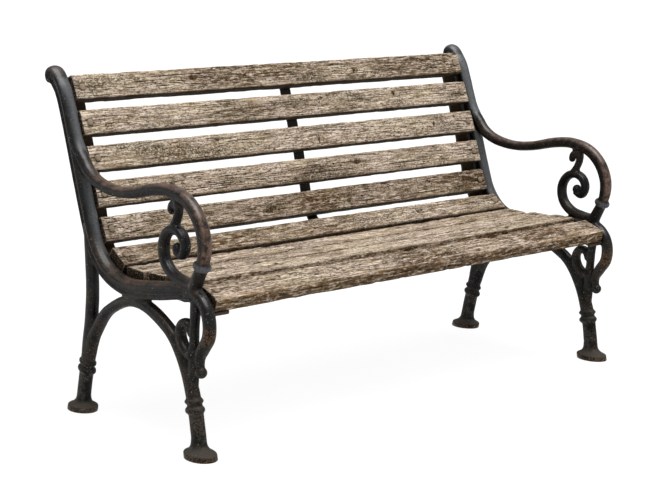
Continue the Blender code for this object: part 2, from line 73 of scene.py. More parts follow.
LOG = logging.getLogger("park_bench")

Outline = list[tuple[float, float]]
Path = Sequence[tuple[float, float, float]]
Section = Callable[[float], Outline]
Span = tuple[float, float]
Steps = tuple[tuple[float, float], ...]
Rows = list[np.ndarray]
Colour = tuple[float, float, float]
Socket = bpy.types.NodeSocket


class Side(Enum):
    """End of the bench, as seen by someone who faces it."""

    LEFT = "left"
    RIGHT = "right"

    @property
    def sign(self) -> float:
        """Direction of this end along X."""
        return -1.0 if self is Side.LEFT else 1.0


class SlatKind(Enum):
    """Where a slat belongs."""

    BACK = "back"
    SEAT = "seat"


class Slot(Enum):
    """Material slots of the record."""

    CAST_IRON = "cast_iron"
    TIMBER = "weathered_timber"
    STRAP = "strap_iron"
    STEEL = "fastener_steel"


def srgb(red: int, green: int, blue: int) -> Colour:
    """Turn a colour as seen on a screen into linear light.

    Args:
        red: Red from 0 to 255.
        green: Green from 0 to 255.
        blue: Blue from 0 to 255.

    Returns:
        The three linear values.
    """
    def linear(value: int) -> float:
        """Undo the screen's curve for one value."""
        share = value / 255
        return share / 12.92 if share <= 0.04045 else ((share + 0.055) / 1.055) ** 2.4
    return linear(red), linear(green), linear(blue)


def smoothstep(low: float, high: float, value: np.ndarray) -> np.ndarray:
    """Rise smoothly from 0 at low to 1 at high.

    Args:
        low: Value where the rise starts.
        high: Value where the rise ends.
        value: Values to map.

    Returns:
        The mapped values.
    """
    share = np.clip((value - low) / (high - low), 0.0, 1.0)
    return share * share * (3.0 - 2.0 * share)


def fall(low: float, high: float, value: np.ndarray) -> np.ndarray:
    """Fall smoothly from 1 at low to 0 at high.

    Args:
        low: Value where the fall starts.
        high: Value where the fall ends.
        value: Values to map.

    Returns:
        The mapped values.
    """
    return 1.0 - smoothstep(low, high, value)


class LatticeNoise:
    """Smooth seeded noise on a repeating lattice."""

    layer_shift = 7.3

    def __init__(self, seed: int, size: int = 97) -> None:
        """Draw the lattice.

        Args:
            seed: Seed of the random draw.
            size: Lattice points each way before the pattern repeats.
        """
        self.size = size
        self.values = np.random.default_rng(seed).uniform(-1.0, 1.0, (size, size))

    def at(self, across: np.ndarray, along: np.ndarray) -> np.ndarray:
        """Read the noise between its lattice points.

        Args:
            across: First coordinates, in lattice steps.
            along: Second coordinates, in lattice steps.

        Returns:
            Values from -1 to 1.
        """
        across, along = np.broadcast_arrays(across, along)
        first = np.floor(across).astype(int)
        second = np.floor(along).astype(int)
        u = smoothstep(0.0, 1.0, across - first)
        v = smoothstep(0.0, 1.0, along - second)
        i, j = first % self.size, second % self.size
        k, m = (first + 1) % self.size, (second + 1) % self.size
        low = self.values[i, j] * (1 - u) + self.values[k, j] * u
        high = self.values[i, m] * (1 - u) + self.values[k, m] * u
        return low * (1 - v) + high * v

    def layered(self, across: np.ndarray, along: np.ndarray, layers: int = 3) -> np.ndarray:
        """Add finer and weaker layers of the noise.

        Args:
            across: First coordinates, in lattice steps.
            along: Second coordinates, in lattice steps.
            layers: How many layers to add.

        Returns:
            Values of about -1 to 1.
        """
        shares = [0.5 ** k for k in range(layers)]
        total = 0.0
        for k, share in enumerate(shares):
            finer = 2.0 ** k
            total = total + share * self.at(across * finer + self.layer_shift * k, along * finer)
        return total / sum(shares)


@dataclass(frozen=True)
class Station:
    """Point on a smooth path in a frame's plane, with its direction and the section's size."""

    place: Vector
    tangent: Vector
    size: float

    @property
    def outward(self) -> Vector:
        """Direction square to the path, on its left as it runs."""
        return Vector((0.0, self.tangent.z, -self.tangent.y))


def smooth_stations(path: Path, spacing: float) -> list[Station]:
    """Run a smooth curve through a path's points.

    Args:
        path: Rows of Y, Z and size.
        spacing: Longest step between stations.

    Returns:
        Stations along the curve.
    """
    points = [Vector((0.0, y, z)) for y, z, _ in path]
    sizes = [size for _, _, size in path]
    last = len(points) - 1
    slopes = [(points[min(i + 1, last)] - points[max(i - 1, 0)]).normalized() for i in range(last + 1)]
    places: list[Vector] = []
    scales: list[float] = []
    for i in range(last):
        reach = (points[i + 1] - points[i]).length
        count = max(3, math.ceil(reach / spacing) + 1)
        handles = (points[i] + slopes[i] * reach / 3, points[i + 1] - slopes[i + 1] * reach / 3)
        run = interpolate_bezier(points[i], *handles, points[i + 1], count)
        kept = run if i == last - 1 else run[:-1]
        places += kept
        scales += [sizes[i] + (sizes[i + 1] - sizes[i]) * j / (count - 1) for j in range(len(kept))]
    end = len(places) - 1
    tangents = [(places[min(k + 1, end)] - places[max(k - 1, 0)]).normalized() for k in range(end + 1)]
    return [Station(*row) for row in zip(places, tangents, scales)]


def oval(
        width: float, depth: float, middle: float = 0.0, fullness: float = 2.3, points: int = 28) -> Outline:
    """Give an oval section, fuller than an ellipse where fullness is above 2.

    Args:
        width: Size across the frame.
        depth: Size along the outward direction.
        middle: Place of its middle along the outward direction.
        fullness: Power of the oval.
        points: Points round it.

    Returns:
        Rows of X and outward place.
    """
    def bulged(value: float) -> float:
        """Push a circle's coordinate out towards a square's."""
        return math.copysign(abs(value) ** (2.0 / fullness), value)
    turns = [2 * math.pi * (k + 0.5) / points for k in range(points)]
    return [(width / 2 * bulged(math.cos(a)), middle + depth / 2 * bulged(math.sin(a))) for a in turns]


def arc_profile(inner: float, outer: float, middle: float, half: float, steps: int = 9) -> Outline:
    """Give the profile of a rounded ring for turning.

    Args:
        inner: Radius at its two edges.
        outer: Radius at its crest.
        middle: Height of its crest.
        half: Half of its height.
        steps: Points along it.

    Returns:
        Rows of radius and height, upwards.
    """
    turns = [math.pi * (k / (steps - 1) - 0.5) for k in range(steps)]
    return [(inner + (outer - inner) * math.cos(a), middle + half * math.sin(a)) for a in turns]


def dome(radius: float, rim: float, rise: float, angles: Sequence[float]) -> Outline:
    """Give the profile of a domed cap for turning.

    Args:
        radius: Radius of its rim.
        rim: Height of its rim.
        rise: Height of its top above the rim.
        angles: Places of the points up the dome, in degrees.

    Returns:
        Rows of radius and height, in the order of the angles.
    """
    turns = [math.radians(angle) for angle in angles]
    return [(radius * math.cos(a), rim + rise * math.sin(a)) for a in turns]


def circle(radius: float, height: float, sides: int) -> list[Vector]:
    """Give a level ring of points about local Z."""
    turns = [2 * math.pi * k / sides for k in range(sides)]
    return [Vector((radius * math.cos(a), radius * math.sin(a), height)) for a in turns]


def rework(mesh: bpy.types.Mesh, change: Callable[[bmesh.types.BMesh], None] | None = None) -> None:
    """Change a mesh, and point its faces outwards.

    Args:
        mesh: Mesh to change.
        change: What to do with the open mesh first, if anything.
    """
    shape = bmesh.new()
    shape.from_mesh(mesh)
    if change is not None:
        change(shape)
    bmesh.ops.recalc_face_normals(shape, faces=shape.faces)
    shape.to_mesh(mesh)
    shape.free()


def shade(mesh: bpy.types.Mesh, crease: float) -> None:
    """Shade a mesh smooth with crisp edges.

    Args:
        mesh: Mesh to shade.
        crease: Bend above which an edge stays crisp, in degrees.
    """
    mesh.shade_smooth()
    mesh.set_sharp_from_angle(angle=math.radians(crease))


def read_points(mesh: bpy.types.Mesh) -> np.ndarray:
    """Read the places of a mesh's points.

    Args:
        mesh: Mesh to read.

    Returns:
        One row for each point.
    """
    places = np.empty(len(mesh.vertices) * 3, np.float32)
    mesh.vertices.foreach_get("co", places)
    return places.reshape(-1, 3)


@dataclass
class MeshDraft:
    """Points and faces of closed bodies, gathered before they become a mesh."""

    points: list[Vector] = field(default_factory=list)
    faces: list[tuple[int, ...]] = field(default_factory=list)

    def add_rings(self, rings: Sequence[Sequence[Vector]], looped: bool = False) -> None:
        """Skin a row of rings, and cap both ends unless the row closes on itself.

        Args:
            rings: Rings with the same number of points.
            looped: Whether the last ring joins the first.
        """
        start = len(self.points)
        count = len(rings[0])
        for ring in rings:
            self.points += [Vector(point) for point in ring]
        rows = [start + count * k for k in range(len(rings))]
        pairs = list(zip(rows, rows[1:]))
        if looped:
            pairs.append((rows[-1], rows[0]))
        for low, high in pairs:
            for k in range(count):
                after = (k + 1) % count
                self.faces.append((low + k, low + after, high + after, high + k))
        if not looped:
            self.faces.append(tuple(range(rows[0], rows[0] + count)))
            self.faces.append(tuple(range(rows[-1], rows[-1] + count)))

    def add_sweep(self, stations: Sequence[Station], section: Section) -> None:
        """Sweep a section along stations.

        Args:
            stations: Stations of the path.
            section: Gives X and outward places at a size.
        """
        rings = []
        for station in stations:
            rows = section(station.size)
            rings.append([station.place + Vector((x, 0, 0)) + station.outward * out for x, out in rows])
        self.add_rings(rings)

    def add_turned(self, profile: Outline, matrix: Matrix, sides: int = 36) -> None:
        """Turn a profile about local Z.

        Args:
            profile: Rows of radius and height.
            matrix: Place of the turned body.
            sides: Points round it.
        """
        levels = [circle(radius, height, sides) for radius, height in profile]
        self.add_rings([[matrix @ point for point in level] for level in levels])

    def to_mesh(self, name: str) -> bpy.types.Mesh:
        """Make the mesh, with its faces pointing outwards.

        Args:
            name: Name of the mesh.

        Returns:
            The mesh.
        """
        mesh = bpy.data.meshes.new(name)
        mesh.from_pydata([tuple(point) for point in self.points], [], self.faces)
        rework(mesh)
        return mesh


def in_plane(place: Sequence[float], lean: float = 0.0) -> Matrix:
    """Give the matrix of a place in a frame's plane.

    Args:
        place: Y and Z.
        lean: Turn of local Z about X, in degrees.

    Returns:
        The matrix.
    """
    return Matrix.Translation((0.0, place[0], place[1])) @ Matrix.Rotation(math.radians(lean), 4, "X")


def set_values(mesh: bpy.types.Mesh, name: str, values: np.ndarray) -> None:
    """Store one number or one vector per point of a mesh.

    Args:
        mesh: Mesh to mark.
        name: Name of the attribute.
        values: Array of one or three columns.
    """
    is_vector = values.ndim == 2
    layer = mesh.attributes.new(name, "FLOAT_VECTOR" if is_vector else "FLOAT", "POINT")
    layer.data.foreach_set("vector" if is_vector else "value", values.astype(np.float32).ravel())


def add_object(name: str, data: bpy.types.ID) -> bpy.types.Object:
    """Add an object to the scene.

    Args:
        name: Name of the object.
        data: Its mesh, camera or light.

    Returns:
        The object.
    """
    item = bpy.data.objects.new(name, data)
    bpy.context.scene.collection.objects.link(item)
    return item


def add_piece(
        node: str, mesh: bpy.types.Mesh, finish: bpy.types.Material, matrix: Matrix) -> None:
    """Add the finished piece that stands for a solid, and report it.

    Args:
        node: Name of the solid.
        mesh: Mesh of the piece.
        finish: Material of the piece.
        matrix: Place of the piece.
    """
    if not mesh.materials:
        mesh.materials.append(finish)
    piece = add_object(f"{node}_finished", mesh)
    piece.matrix_world = matrix
    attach(piece, BODY)
    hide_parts(node)
    LOG.info("%s: %d faces", piece.name, len(mesh.polygons))


@dataclass(frozen=True)
class Pattern:
    """Settings of one noise: features per metre along X and across it, finer layers and their strength."""

    along: float
    across: float
    detail: float
    rough: float


class FinishSheet:
    """Lays out the nodes of one material."""

    def __init__(self, name: str) -> None:
        """Start a material with its Principled shader.

        Args:
            name: Name of the material.
        """
        self.material = bpy.data.materials.new(name)
        self.material.use_nodes = True
        self.tree = self.material.node_tree
        self.shader = self.tree.nodes["Principled BSDF"]

    def plug(self, socket: Socket, value: Socket | float | Colour) -> None:
        """Link a socket to another, or set its value.

        Args:
            socket: Input to feed.
            value: Output to link, number or colour.
        """
        if isinstance(value, bpy.types.NodeSocket):
            self.tree.links.new(value, socket)
        elif isinstance(value, tuple) and socket.type == "RGBA":
            socket.default_value = (*value, 1.0)
        else:
            socket.default_value = value

    def set_shader(self, **values: Socket | float | Colour) -> None:
        """Feed the shader's sockets, named with underscores for spaces.

        Args:
            **values: Value or output for each socket.
        """
        names = {socket.name.replace(" ", "_").lower(): socket for socket in self.shader.inputs}
        for name, value in values.items():
            self.plug(names[name], value)

    def stored(self, name: str, output: str = "Fac") -> Socket:
        """Read a mesh attribute.

        Args:
            name: Name of the attribute.
            output: Output of the node, for numbers or for vectors.

        Returns:
            The attribute.
        """
        node = self.tree.nodes.new("ShaderNodeAttribute")
        node.attribute_name = name
        return node.outputs[output]

    def object_place(self) -> Socket:
        """Read the place on the object."""
        return self.tree.nodes.new("ShaderNodeTexCoord").outputs["Object"]

    def axis(self, vector: Socket, name: str) -> Socket:
        """Read one coordinate of a vector.

        Args:
            vector: Vector to read.
            name: Name of the coordinate.

        Returns:
            The coordinate.
        """
        node = self.tree.nodes.new("ShaderNodeSeparateXYZ")
        self.plug(node.inputs[0], vector)
        return node.outputs[name]

    def upward(self) -> Socket:
        """Read how far a face looks up, from -1 to 1."""
        return self.axis(self.tree.nodes.new("ShaderNodeNewGeometry").outputs["Normal"], "Z")

    def noise(self, vector: Socket, pattern: Pattern) -> Socket:
        """Make noise with its own scale along X and across it.

        Args:
            vector: Coordinates.
            pattern: Settings of the noise.

        Returns:
            Noise of about 0 to 1.
        """
        mapping = self.tree.nodes.new("ShaderNodeMapping")
        mapping.inputs["Scale"].default_value = (pattern.along, pattern.across, pattern.across)
        self.plug(mapping.inputs["Vector"], vector)
        node = self.tree.nodes.new("ShaderNodeTexNoise")
        node.inputs["Scale"].default_value = 1.0
        node.inputs["Detail"].default_value = pattern.detail
        node.inputs["Roughness"].default_value = pattern.rough
        self.plug(node.inputs["Vector"], mapping.outputs["Vector"])
        return node.outputs["Fac"]

    def window(self, value: Socket, low: float, high: float, top: float = 1.0) -> Socket:
        """Rise smoothly from 0 at low to top at high, which may be the smaller value.

        Args:
            value: Value to map.
            low: Where the rise starts.
            high: Where it ends.
            top: Value at the end.

        Returns:
            The mapped value.
        """
        node = self.tree.nodes.new("ShaderNodeMapRange")
        node.interpolation_type = "SMOOTHSTEP"
        node.inputs["From Min"].default_value = low
        node.inputs["From Max"].default_value = high
        node.inputs["To Max"].default_value = top
        self.plug(node.inputs["Value"], value)
        return node.outputs["Result"]

    def sum_of(self, operation: str, first: Socket | float, second: Socket | float) -> Socket:
        """Work out a sum on two values.

        Args:
            operation: Blender's name of the sum.
            first: First value.
            second: Second value.

        Returns:
            The result.
        """
        node = self.tree.nodes.new("ShaderNodeMath")
        node.operation = operation
        self.plug(node.inputs[0], first)
        self.plug(node.inputs[1], second)
        return node.outputs[0]

    def product(self, *values: Socket | float) -> Socket:
        """Multiply values.

        Args:
            *values: Two values or more.

        Returns:
            The product.
        """
        result = values[0]
        for value in values[1:]:
            result = self.sum_of("MULTIPLY", result, value)
        return result

    def mix(
            self, share: Socket, under: Socket | Colour, over: Socket | Colour,
            blend: str = "MIX") -> Socket:
        """Lay one colour over another.

        Args:
            share: How much of the upper colour shows.
            under: Lower colour.
            over: Upper colour.
            blend: Blender's name of the blend.

        Returns:
            The mixed colour.
        """
        node = self.tree.nodes.new("ShaderNodeMix")
        node.data_type = "RGBA"
        node.blend_type = blend
        sockets = {socket.identifier: socket for socket in (*node.inputs, *node.outputs)}
        self.plug(sockets["Factor_Float"], share)
        self.plug(sockets["A_Color"], under)
        self.plug(sockets["B_Color"], over)
        return sockets["Result_Color"]

    def bump(self, height: Socket, strength: float, distance: float, normal: Socket | None = None) -> Socket:
        """Turn a height into a bumped normal.

        Args:
            height: Height from 0 to 1.
            strength: Strength of the bump.
            distance: Height of a full step, in metres.
            normal: Normal to add to.

        Returns:
            The normal.
        """
        node = self.tree.nodes.new("ShaderNodeBump")
        node.inputs["Strength"].default_value = strength
        node.inputs["Distance"].default_value = distance
        self.plug(node.inputs["Height"], height)
        if normal is not None:
            self.plug(node.inputs["Normal"], normal)
        return node.outputs["Normal"]


@dataclass(frozen=True)
class WeatheredTimber:
    """Old bare timber: grey-tan fibres, dark checks, grime, lichen flecks, moss and warmer worn patches."""

    pale: Colour = srgb(249, 230, 212)
    tan: Colour = srgb(159, 137, 113)
    check: Colour = srgb(40, 27, 13)
    grime: Colour = srgb(96, 78, 57)
    lichen: Colour = srgb(240, 232, 216)
    warm: Colour = srgb(172, 138, 104)
    bare: Colour = srgb(188, 150, 112)
    end_grain: Colour = srgb(52, 41, 31)
    underside_shade: Colour = srgb(38, 27, 14)
    weathered: Colour = srgb(134, 118, 97)
    mossy: Colour = srgb(249, 250, 243)
    roughness: float = 0.92
    specular: float = 0.12
    fewest_checks: float = 0.30

    fibres: Pattern = Pattern(20.0, 280.0, 6.0, 0.68)
    bands: Pattern = Pattern(1.6, 90.0, 3.0, 0.5)
    dashes: Pattern = Pattern(30.0, 235.0, 5.0, 0.70)
    ticks: Pattern = Pattern(80.0, 330.0, 3.0, 0.6)
    speckles: Pattern = Pattern(200.0, 330.0, 3.0, 0.6)
    grit: Pattern = Pattern(110.0, 240.0, 4.0, 0.68)
    dots: Pattern = Pattern(170.0, 330.0, 2.0, 0.6)
    warm_areas: Pattern = Pattern(4.0, 13.0, 4.0, 0.6)
    blotches: Pattern = Pattern(7.0, 17.0, 6.0, 0.70)
    colonies: Pattern = Pattern(7.0, 17.0, 4.0, 0.6)
    flecks: Pattern = Pattern(150.0, 190.0, 4.0, 0.6)
    mottle: Pattern = Pattern(42.0, 150.0, 6.0, 0.74)
    moss_areas: Pattern = Pattern(6.0, 20.0, 4.0, 0.6)
    check_zones: Pattern = Pattern(5.0, 14.0, 3.0, 0.6)

    def build(self) -> bpy.types.Material:
        """Lay out the material.

        Returns:
            The material.
        """
        sheet = FinishSheet("weathered_timber")
        grain = sheet.stored("grain", "Vector")
        fibre = sheet.noise(grain, self.fibres)
        speckle = sheet.noise(grain, self.speckles)
        grit = sheet.noise(grain, self.grit)
        dots = sheet.noise(grain, self.dots)

        # Fibres, with bands, grit and warm areas among them
        colour = sheet.mix(sheet.window(fibre, 0.42, 0.58), self.tan, self.pale)
        bands = sheet.window(sheet.noise(grain, self.bands), 0.48, 0.68, 0.5)
        colour = sheet.mix(bands, colour, self.tan)
        colour = sheet.mix(sheet.window(grit, 0.50, 0.68, 0.6), colour, self.grime)
        warm = sheet.window(sheet.noise(grain, self.warm_areas), 0.54, 0.74, 0.35)
        colour = sheet.mix(warm, colour, self.warm)

        # Grime in blotches and dots, and lichen in dots and colonies
        blotch = sheet.window(sheet.noise(grain, self.blotches), 0.49, 0.62)
        grime = sheet.product(blotch, sheet.window(speckle, 0.34, 0.58, 0.9))
        colour = sheet.mix(grime, colour, self.grime)
        colour = sheet.mix(sheet.window(dots, 0.54, 0.64, 0.7), colour, self.grime)
        colour = sheet.mix(sheet.window(dots, 0.44, 0.32, 0.65), colour, self.lichen)
        colony = sheet.window(sheet.noise(grain, self.colonies), 0.50, 0.64)
        flecks = sheet.window(sheet.noise(grain, self.flecks), 0.57, 0.66, 0.8)
        colour = sheet.mix(sheet.product(colony, flecks), colour, self.lichen)

        # Darkened areas, with painted shade on some faces, then mossy and worn areas
        mottle = sheet.window(sheet.noise(grain, self.mottle), 0.36, 0.62, 1.7)
        colour = sheet.mix(sheet.product(sheet.stored("dark"), mottle), colour, self.weathered, "MULTIPLY")
        moss = sheet.window(sheet.noise(grain, self.moss_areas), 0.44, 0.58)
        colour = sheet.mix(moss, colour, self.mossy, "MULTIPLY")
        colour = sheet.mix(sheet.stored("bare"), colour, self.bare)

        # Fine checks, the stains with painted shadow round the bolts, and the modelled checks with the
        # painted shade along the back slats' lower edges
        zone = sheet.window(sheet.noise(grain, self.check_zones), 0.40, 0.58, 0.75)
        zone = sheet.sum_of("ADD", zone, self.fewest_checks)
        deep = sheet.product(sheet.window(sheet.noise(grain, self.dashes), 0.57, 0.66), zone)
        fine = sheet.product(sheet.window(sheet.noise(grain, self.ticks), 0.56, 0.66), zone)
        for mark in (deep, fine, sheet.stored("stain"), sheet.stored("crack")):
            colour = sheet.mix(mark, colour, self.check)

        # End grain, and painted shade with some dirt on the faces that look down
        end = sheet.product(sheet.stored("end"), sheet.window(speckle, 0.20, 0.50))
        colour = sheet.mix(end, colour, self.end_grain)
        facing_down_shade = sheet.window(sheet.sum_of("MULTIPLY", sheet.upward(), -1.0), 0.15, 0.75, 0.88)
        colour = sheet.mix(facing_down_shade, colour, self.underside_shade)

        height = sheet.sum_of("SUBTRACT", sheet.product(fibre, 0.6), sheet.product(deep, 0.8))
        height = sheet.sum_of("SUBTRACT", height, sheet.product(fine, 0.4))
        normal = sheet.bump(height, 0.9, 0.0014)
        normal = sheet.bump(grit, 0.5, 0.0012, normal)
        sheet.set_shader(base_color=colour, normal=normal)
        sheet.set_shader(roughness=self.roughness, specular_ior_level=self.specular)
        return sheet.material


@dataclass(frozen=True)
class AgedIron:
    """Old dark iron: charcoal skin, pits, worn tops, pale paint with a painted sheen, a painted highlight on
    the rubbed ring, rust, dust near the ground, painted shade with dirt in hollows and pale specks.

    On the flange behind the slats it is matt, and brown with painted shade.
    """

    name: str = "aged_cast_iron"
    deep: Colour = srgb(8, 8, 8)
    skin: Colour = srgb(25, 25, 25)
    brown: Colour = srgb(58, 46, 35)
    worn: Colour = srgb(114, 90, 77)
    # Painted highlight on the rubbed ring
    rubbed_and_highlight: Colour = srgb(82, 82, 88)
    faded_and_sheen: Colour = srgb(102, 104, 107)
    rust: Colour = srgb(98, 70, 42)
    dust: Colour = srgb(88, 82, 74)
    flange_shade: Colour = srgb(68, 56, 43)
    speck: Colour = srgb(150, 139, 122)
    dust_height: float = 0.42
    dust_share: float = 0.75
    brown_share: float = 0.7
    specular: float = 0.08
    least_roughness: float = 0.30
    top_gloss: float = 0.9
    gloss_height: float = 0.10
    gloss_roughness: float = 0.30

    clouds: Pattern = Pattern(34.0, 34.0, 5.0, 0.6)
    pits: Pattern = Pattern(420.0, 420.0, 4.0, 0.65)
    lumps: Pattern = Pattern(120.0, 120.0, 3.0, 0.5)
    grit: Pattern = Pattern(240.0, 240.0, 4.0, 0.7)
    brown_areas: Pattern = Pattern(11.0, 11.0, 5.0, 0.65)
    scuffs: Pattern = Pattern(46.0, 46.0, 5.0, 0.65)
    specks: Pattern = Pattern(300.0, 300.0, 2.0, 0.5)

    def build(self) -> bpy.types.Material:
        """Lay out the material.

        Returns:
            The material.
        """
        sheet = FinishSheet(self.name)
        place = sheet.object_place()
        cloud = sheet.noise(place, self.clouds)
        grit = sheet.noise(place, self.grit)

        # Skin, with brown areas and the wear that is stored on the mesh
        colour = sheet.mix(sheet.window(cloud, 0.30, 0.70), self.deep, self.skin)
        patches = sheet.window(sheet.noise(place, self.brown_areas), 0.48, 0.64, self.brown_share)
        colour = sheet.mix(sheet.product(patches, sheet.window(grit, 0.34, 0.62)), colour, self.brown)
        scuffs = sheet.window(sheet.noise(place, self.scuffs), 0.34, 0.62)
        worn = sheet.product(sheet.stored("worn"), scuffs, sheet.window(grit, 0.14, 0.56))
        colour = sheet.mix(worn, colour, self.worn)
        # Pale paint with a painted sheen on the rail's crest and roll, a painted highlight on the rubbed
        # ring, and rust
        marks = (
            ("faded_and_sheen", self.faded_and_sheen, 0.10, 0.60),
            ("rubbed_and_highlight", self.rubbed_and_highlight, 0.24, 0.56),
            ("rust", self.rust, 0.44, 0.62),
        )
        for name, over, low, high in marks:
            mark = sheet.product(sheet.stored(name), sheet.window(grit, low, high))
            colour = sheet.mix(mark, colour, over)
        # Painted shade in brown on the flange behind the slats
        flange_shade = sheet.stored("flange_shade")
        colour = sheet.mix(flange_shade, colour, self.flange_shade)

        # Dust near the ground, painted shade with dirt in the hollows, and pale specks
        height = sheet.axis(place, "Z")
        near_ground = sheet.window(height, self.dust_height, 0.0, self.dust_share)
        patchy = sheet.product(sheet.window(grit, 0.40, 0.66), sheet.window(cloud, 0.38, 0.62))
        lying = sheet.window(sheet.upward(), 0.0, 0.8, 0.8)
        dust = sheet.product(near_ground, sheet.sum_of("MAXIMUM", patchy, lying))
        colour = sheet.mix(dust, colour, self.dust)
        colour = sheet.mix(sheet.stored("cavity"), colour, self.deep)
        specks = sheet.window(sheet.noise(place, self.specks), 0.67, 0.73, 0.8)
        colour = sheet.mix(specks, colour, self.speck)

        roughness = sheet.sum_of("ADD", sheet.window(cloud, 0.20, 0.80, 0.24), self.least_roughness)
        roughness = sheet.sum_of("MAXIMUM", roughness, dust)
        normal = sheet.bump(sheet.noise(place, self.lumps), 0.35, 0.0010)
        normal = sheet.bump(sheet.noise(place, self.pits), 0.4, 0.0006, normal)
        sheet.set_shader(base_color=colour, normal=normal)
        sheet.set_shader(roughness=roughness, specular_ior_level=self.specular)
        clean = sheet.window(height, self.gloss_height, self.dust_height)
        # Coat only where there is no painted flange shade
        clear_of_flange_shade = sheet.sum_of("SUBTRACT", 1.0, flange_shade)
        gloss = sheet.product(sheet.window(sheet.upward(), -0.3, 0.7, self.top_gloss), clean, clear_of_flange_shade)
        sheet.set_shader(coat_weight=gloss, coat_roughness=self.gloss_roughness, coat_normal=normal)
        return sheet.material


@dataclass(frozen=True)
class PaleFloor:
    """Plain pale studio floor with a faint even mottle."""

    light: Colour = srgb(104, 104, 103)
    shade: Colour = srgb(101, 101, 100)
    lit: Colour = srgb(255, 255, 255)
    glow: float = 0.92
    roughness: float = 0.9
    mottle: Pattern = Pattern(3.0, 3.0, 3.0, 0.5)

    def build(self) -> bpy.types.Material:
        """Lay out the material.

        Returns:
            The material.
        """
        sheet = FinishSheet("pale_floor")
        mottle = sheet.noise(sheet.object_place(), self.mottle)
        sheet.set_shader(base_color=sheet.mix(mottle, self.light, self.shade), roughness=self.roughness)
        sheet.set_shader(emission_color=self.lit, emission_strength=self.glow)
        return sheet.material


@dataclass(frozen=True)
class SlatPlace:
    """Place of one slat: its name, kind, the Y and Z of its face's middle, and its lean from upright."""

    name: str
    kind: SlatKind
    y: float
    z: float
    lean: float

    def matrix(self) -> Matrix:
        """Place of the slat; local Z is the face's normal and local Y runs up the face."""
        return in_plane((self.y, self.z), 90.0 - self.lean)


@dataclass(frozen=True)
class BenchLayout:
    """Sizes and places that the bench's pieces share, with each slat's tone and knots.

    Rows of the back and the seat are Y, Z and lean. Rows of knots are X, place across and radius.
    """

    frame_spacing: float = 1.366
    rail_width: float = 0.038
    slat_end_gap: float = 0.0015
    slat_thickness: float = 0.036
    back_slat_width: float = 0.065
    seat_slat_width: float = 0.074
    bolt_inset: float = 0.022
    flange_thickness: float = 0.009
    strap_thickness: float = 0.005
    strap_place_x: float = 0.0135
    clearance: float = 0.0003
    overrun: float = 0.004
    back: Path = (
        (0.2494, 0.7980, 23.5),
        (0.2175, 0.7150, 20.5),
        (0.1880, 0.6310, 20.0),
        (0.1610, 0.5465, 18.5),
        (0.1335, 0.4650, 23.0),
        (0.0727, 0.4097, 57.0),
    )
    seat: Path = (
        (0.0025, 0.3888, 88.0),
        (-0.0845, 0.3915, 92.5),
        (-0.1755, 0.3962, 89.0),
        (-0.2845, 0.3845, 72.0),
    )
    tones: tuple[float, ...] = (0.36, 0.08, -0.26, 0.12, 0.40, 0.32, 0.22, -0.15, -0.15, 0.45)
    knots: tuple[Path, ...] = (
        ((-0.31, 0.006, 0.007), (0.24, -0.004, 0.008)),
        ((0.37, 0.010, 0.007),),
        ((0.063, -0.008, 0.014), (0.50, 0.002, 0.011)),
        ((-0.44, 0.004, 0.009), (0.18, 0.008, 0.008)),
        ((-0.15, -0.006, 0.008),),
        ((0.33, 0.004, 0.009),),
        ((-0.22, 0.010, 0.008),),
        ((0.12, -0.012, 0.009),),
        ((-0.38, 0.004, 0.008), (0.41, -0.010, 0.009)),
        ((0.05, 0.012, 0.010),),
    )

    def slats(self) -> list[SlatPlace]:
        """List every slat from the top of the back to the front of the seat."""
        backs = [SlatPlace(f"back_slat_{k}", SlatKind.BACK, *row) for k, row in enumerate(self.back, 1)]
        seats = [SlatPlace(f"seat_slat_{k}", SlatKind.SEAT, *row) for k, row in enumerate(self.seat, 1)]
        return backs + seats

    def width(self, kind: SlatKind) -> float:
        """Width of a slat's face."""
        return self.back_slat_width if kind is SlatKind.BACK else self.seat_slat_width

    def slat_length(self) -> float:
        """Length of a slat between the rails."""
        return self.frame_spacing - self.rail_width - 2 * self.slat_end_gap

    def bolt_reach(self) -> float:
        """Distance of a bolt from the middle of the bench."""
        return self.slat_length() / 2 - self.bolt_inset

    def bearing_line(self) -> list[Vector]:
        """List the points of the line that touches the back of every slat.

        Returns:
            Two points for each slat, from the top down.
        """
        depth = -(self.slat_thickness + self.clearance)
        line = []
        for slat in self.slats():
            reach = self.width(slat.kind) / 2 + self.overrun
            line.append(slat.matrix() @ Vector((0.0, reach, depth)))
            line.append(slat.matrix() @ Vector((0.0, -reach, depth)))
        return line


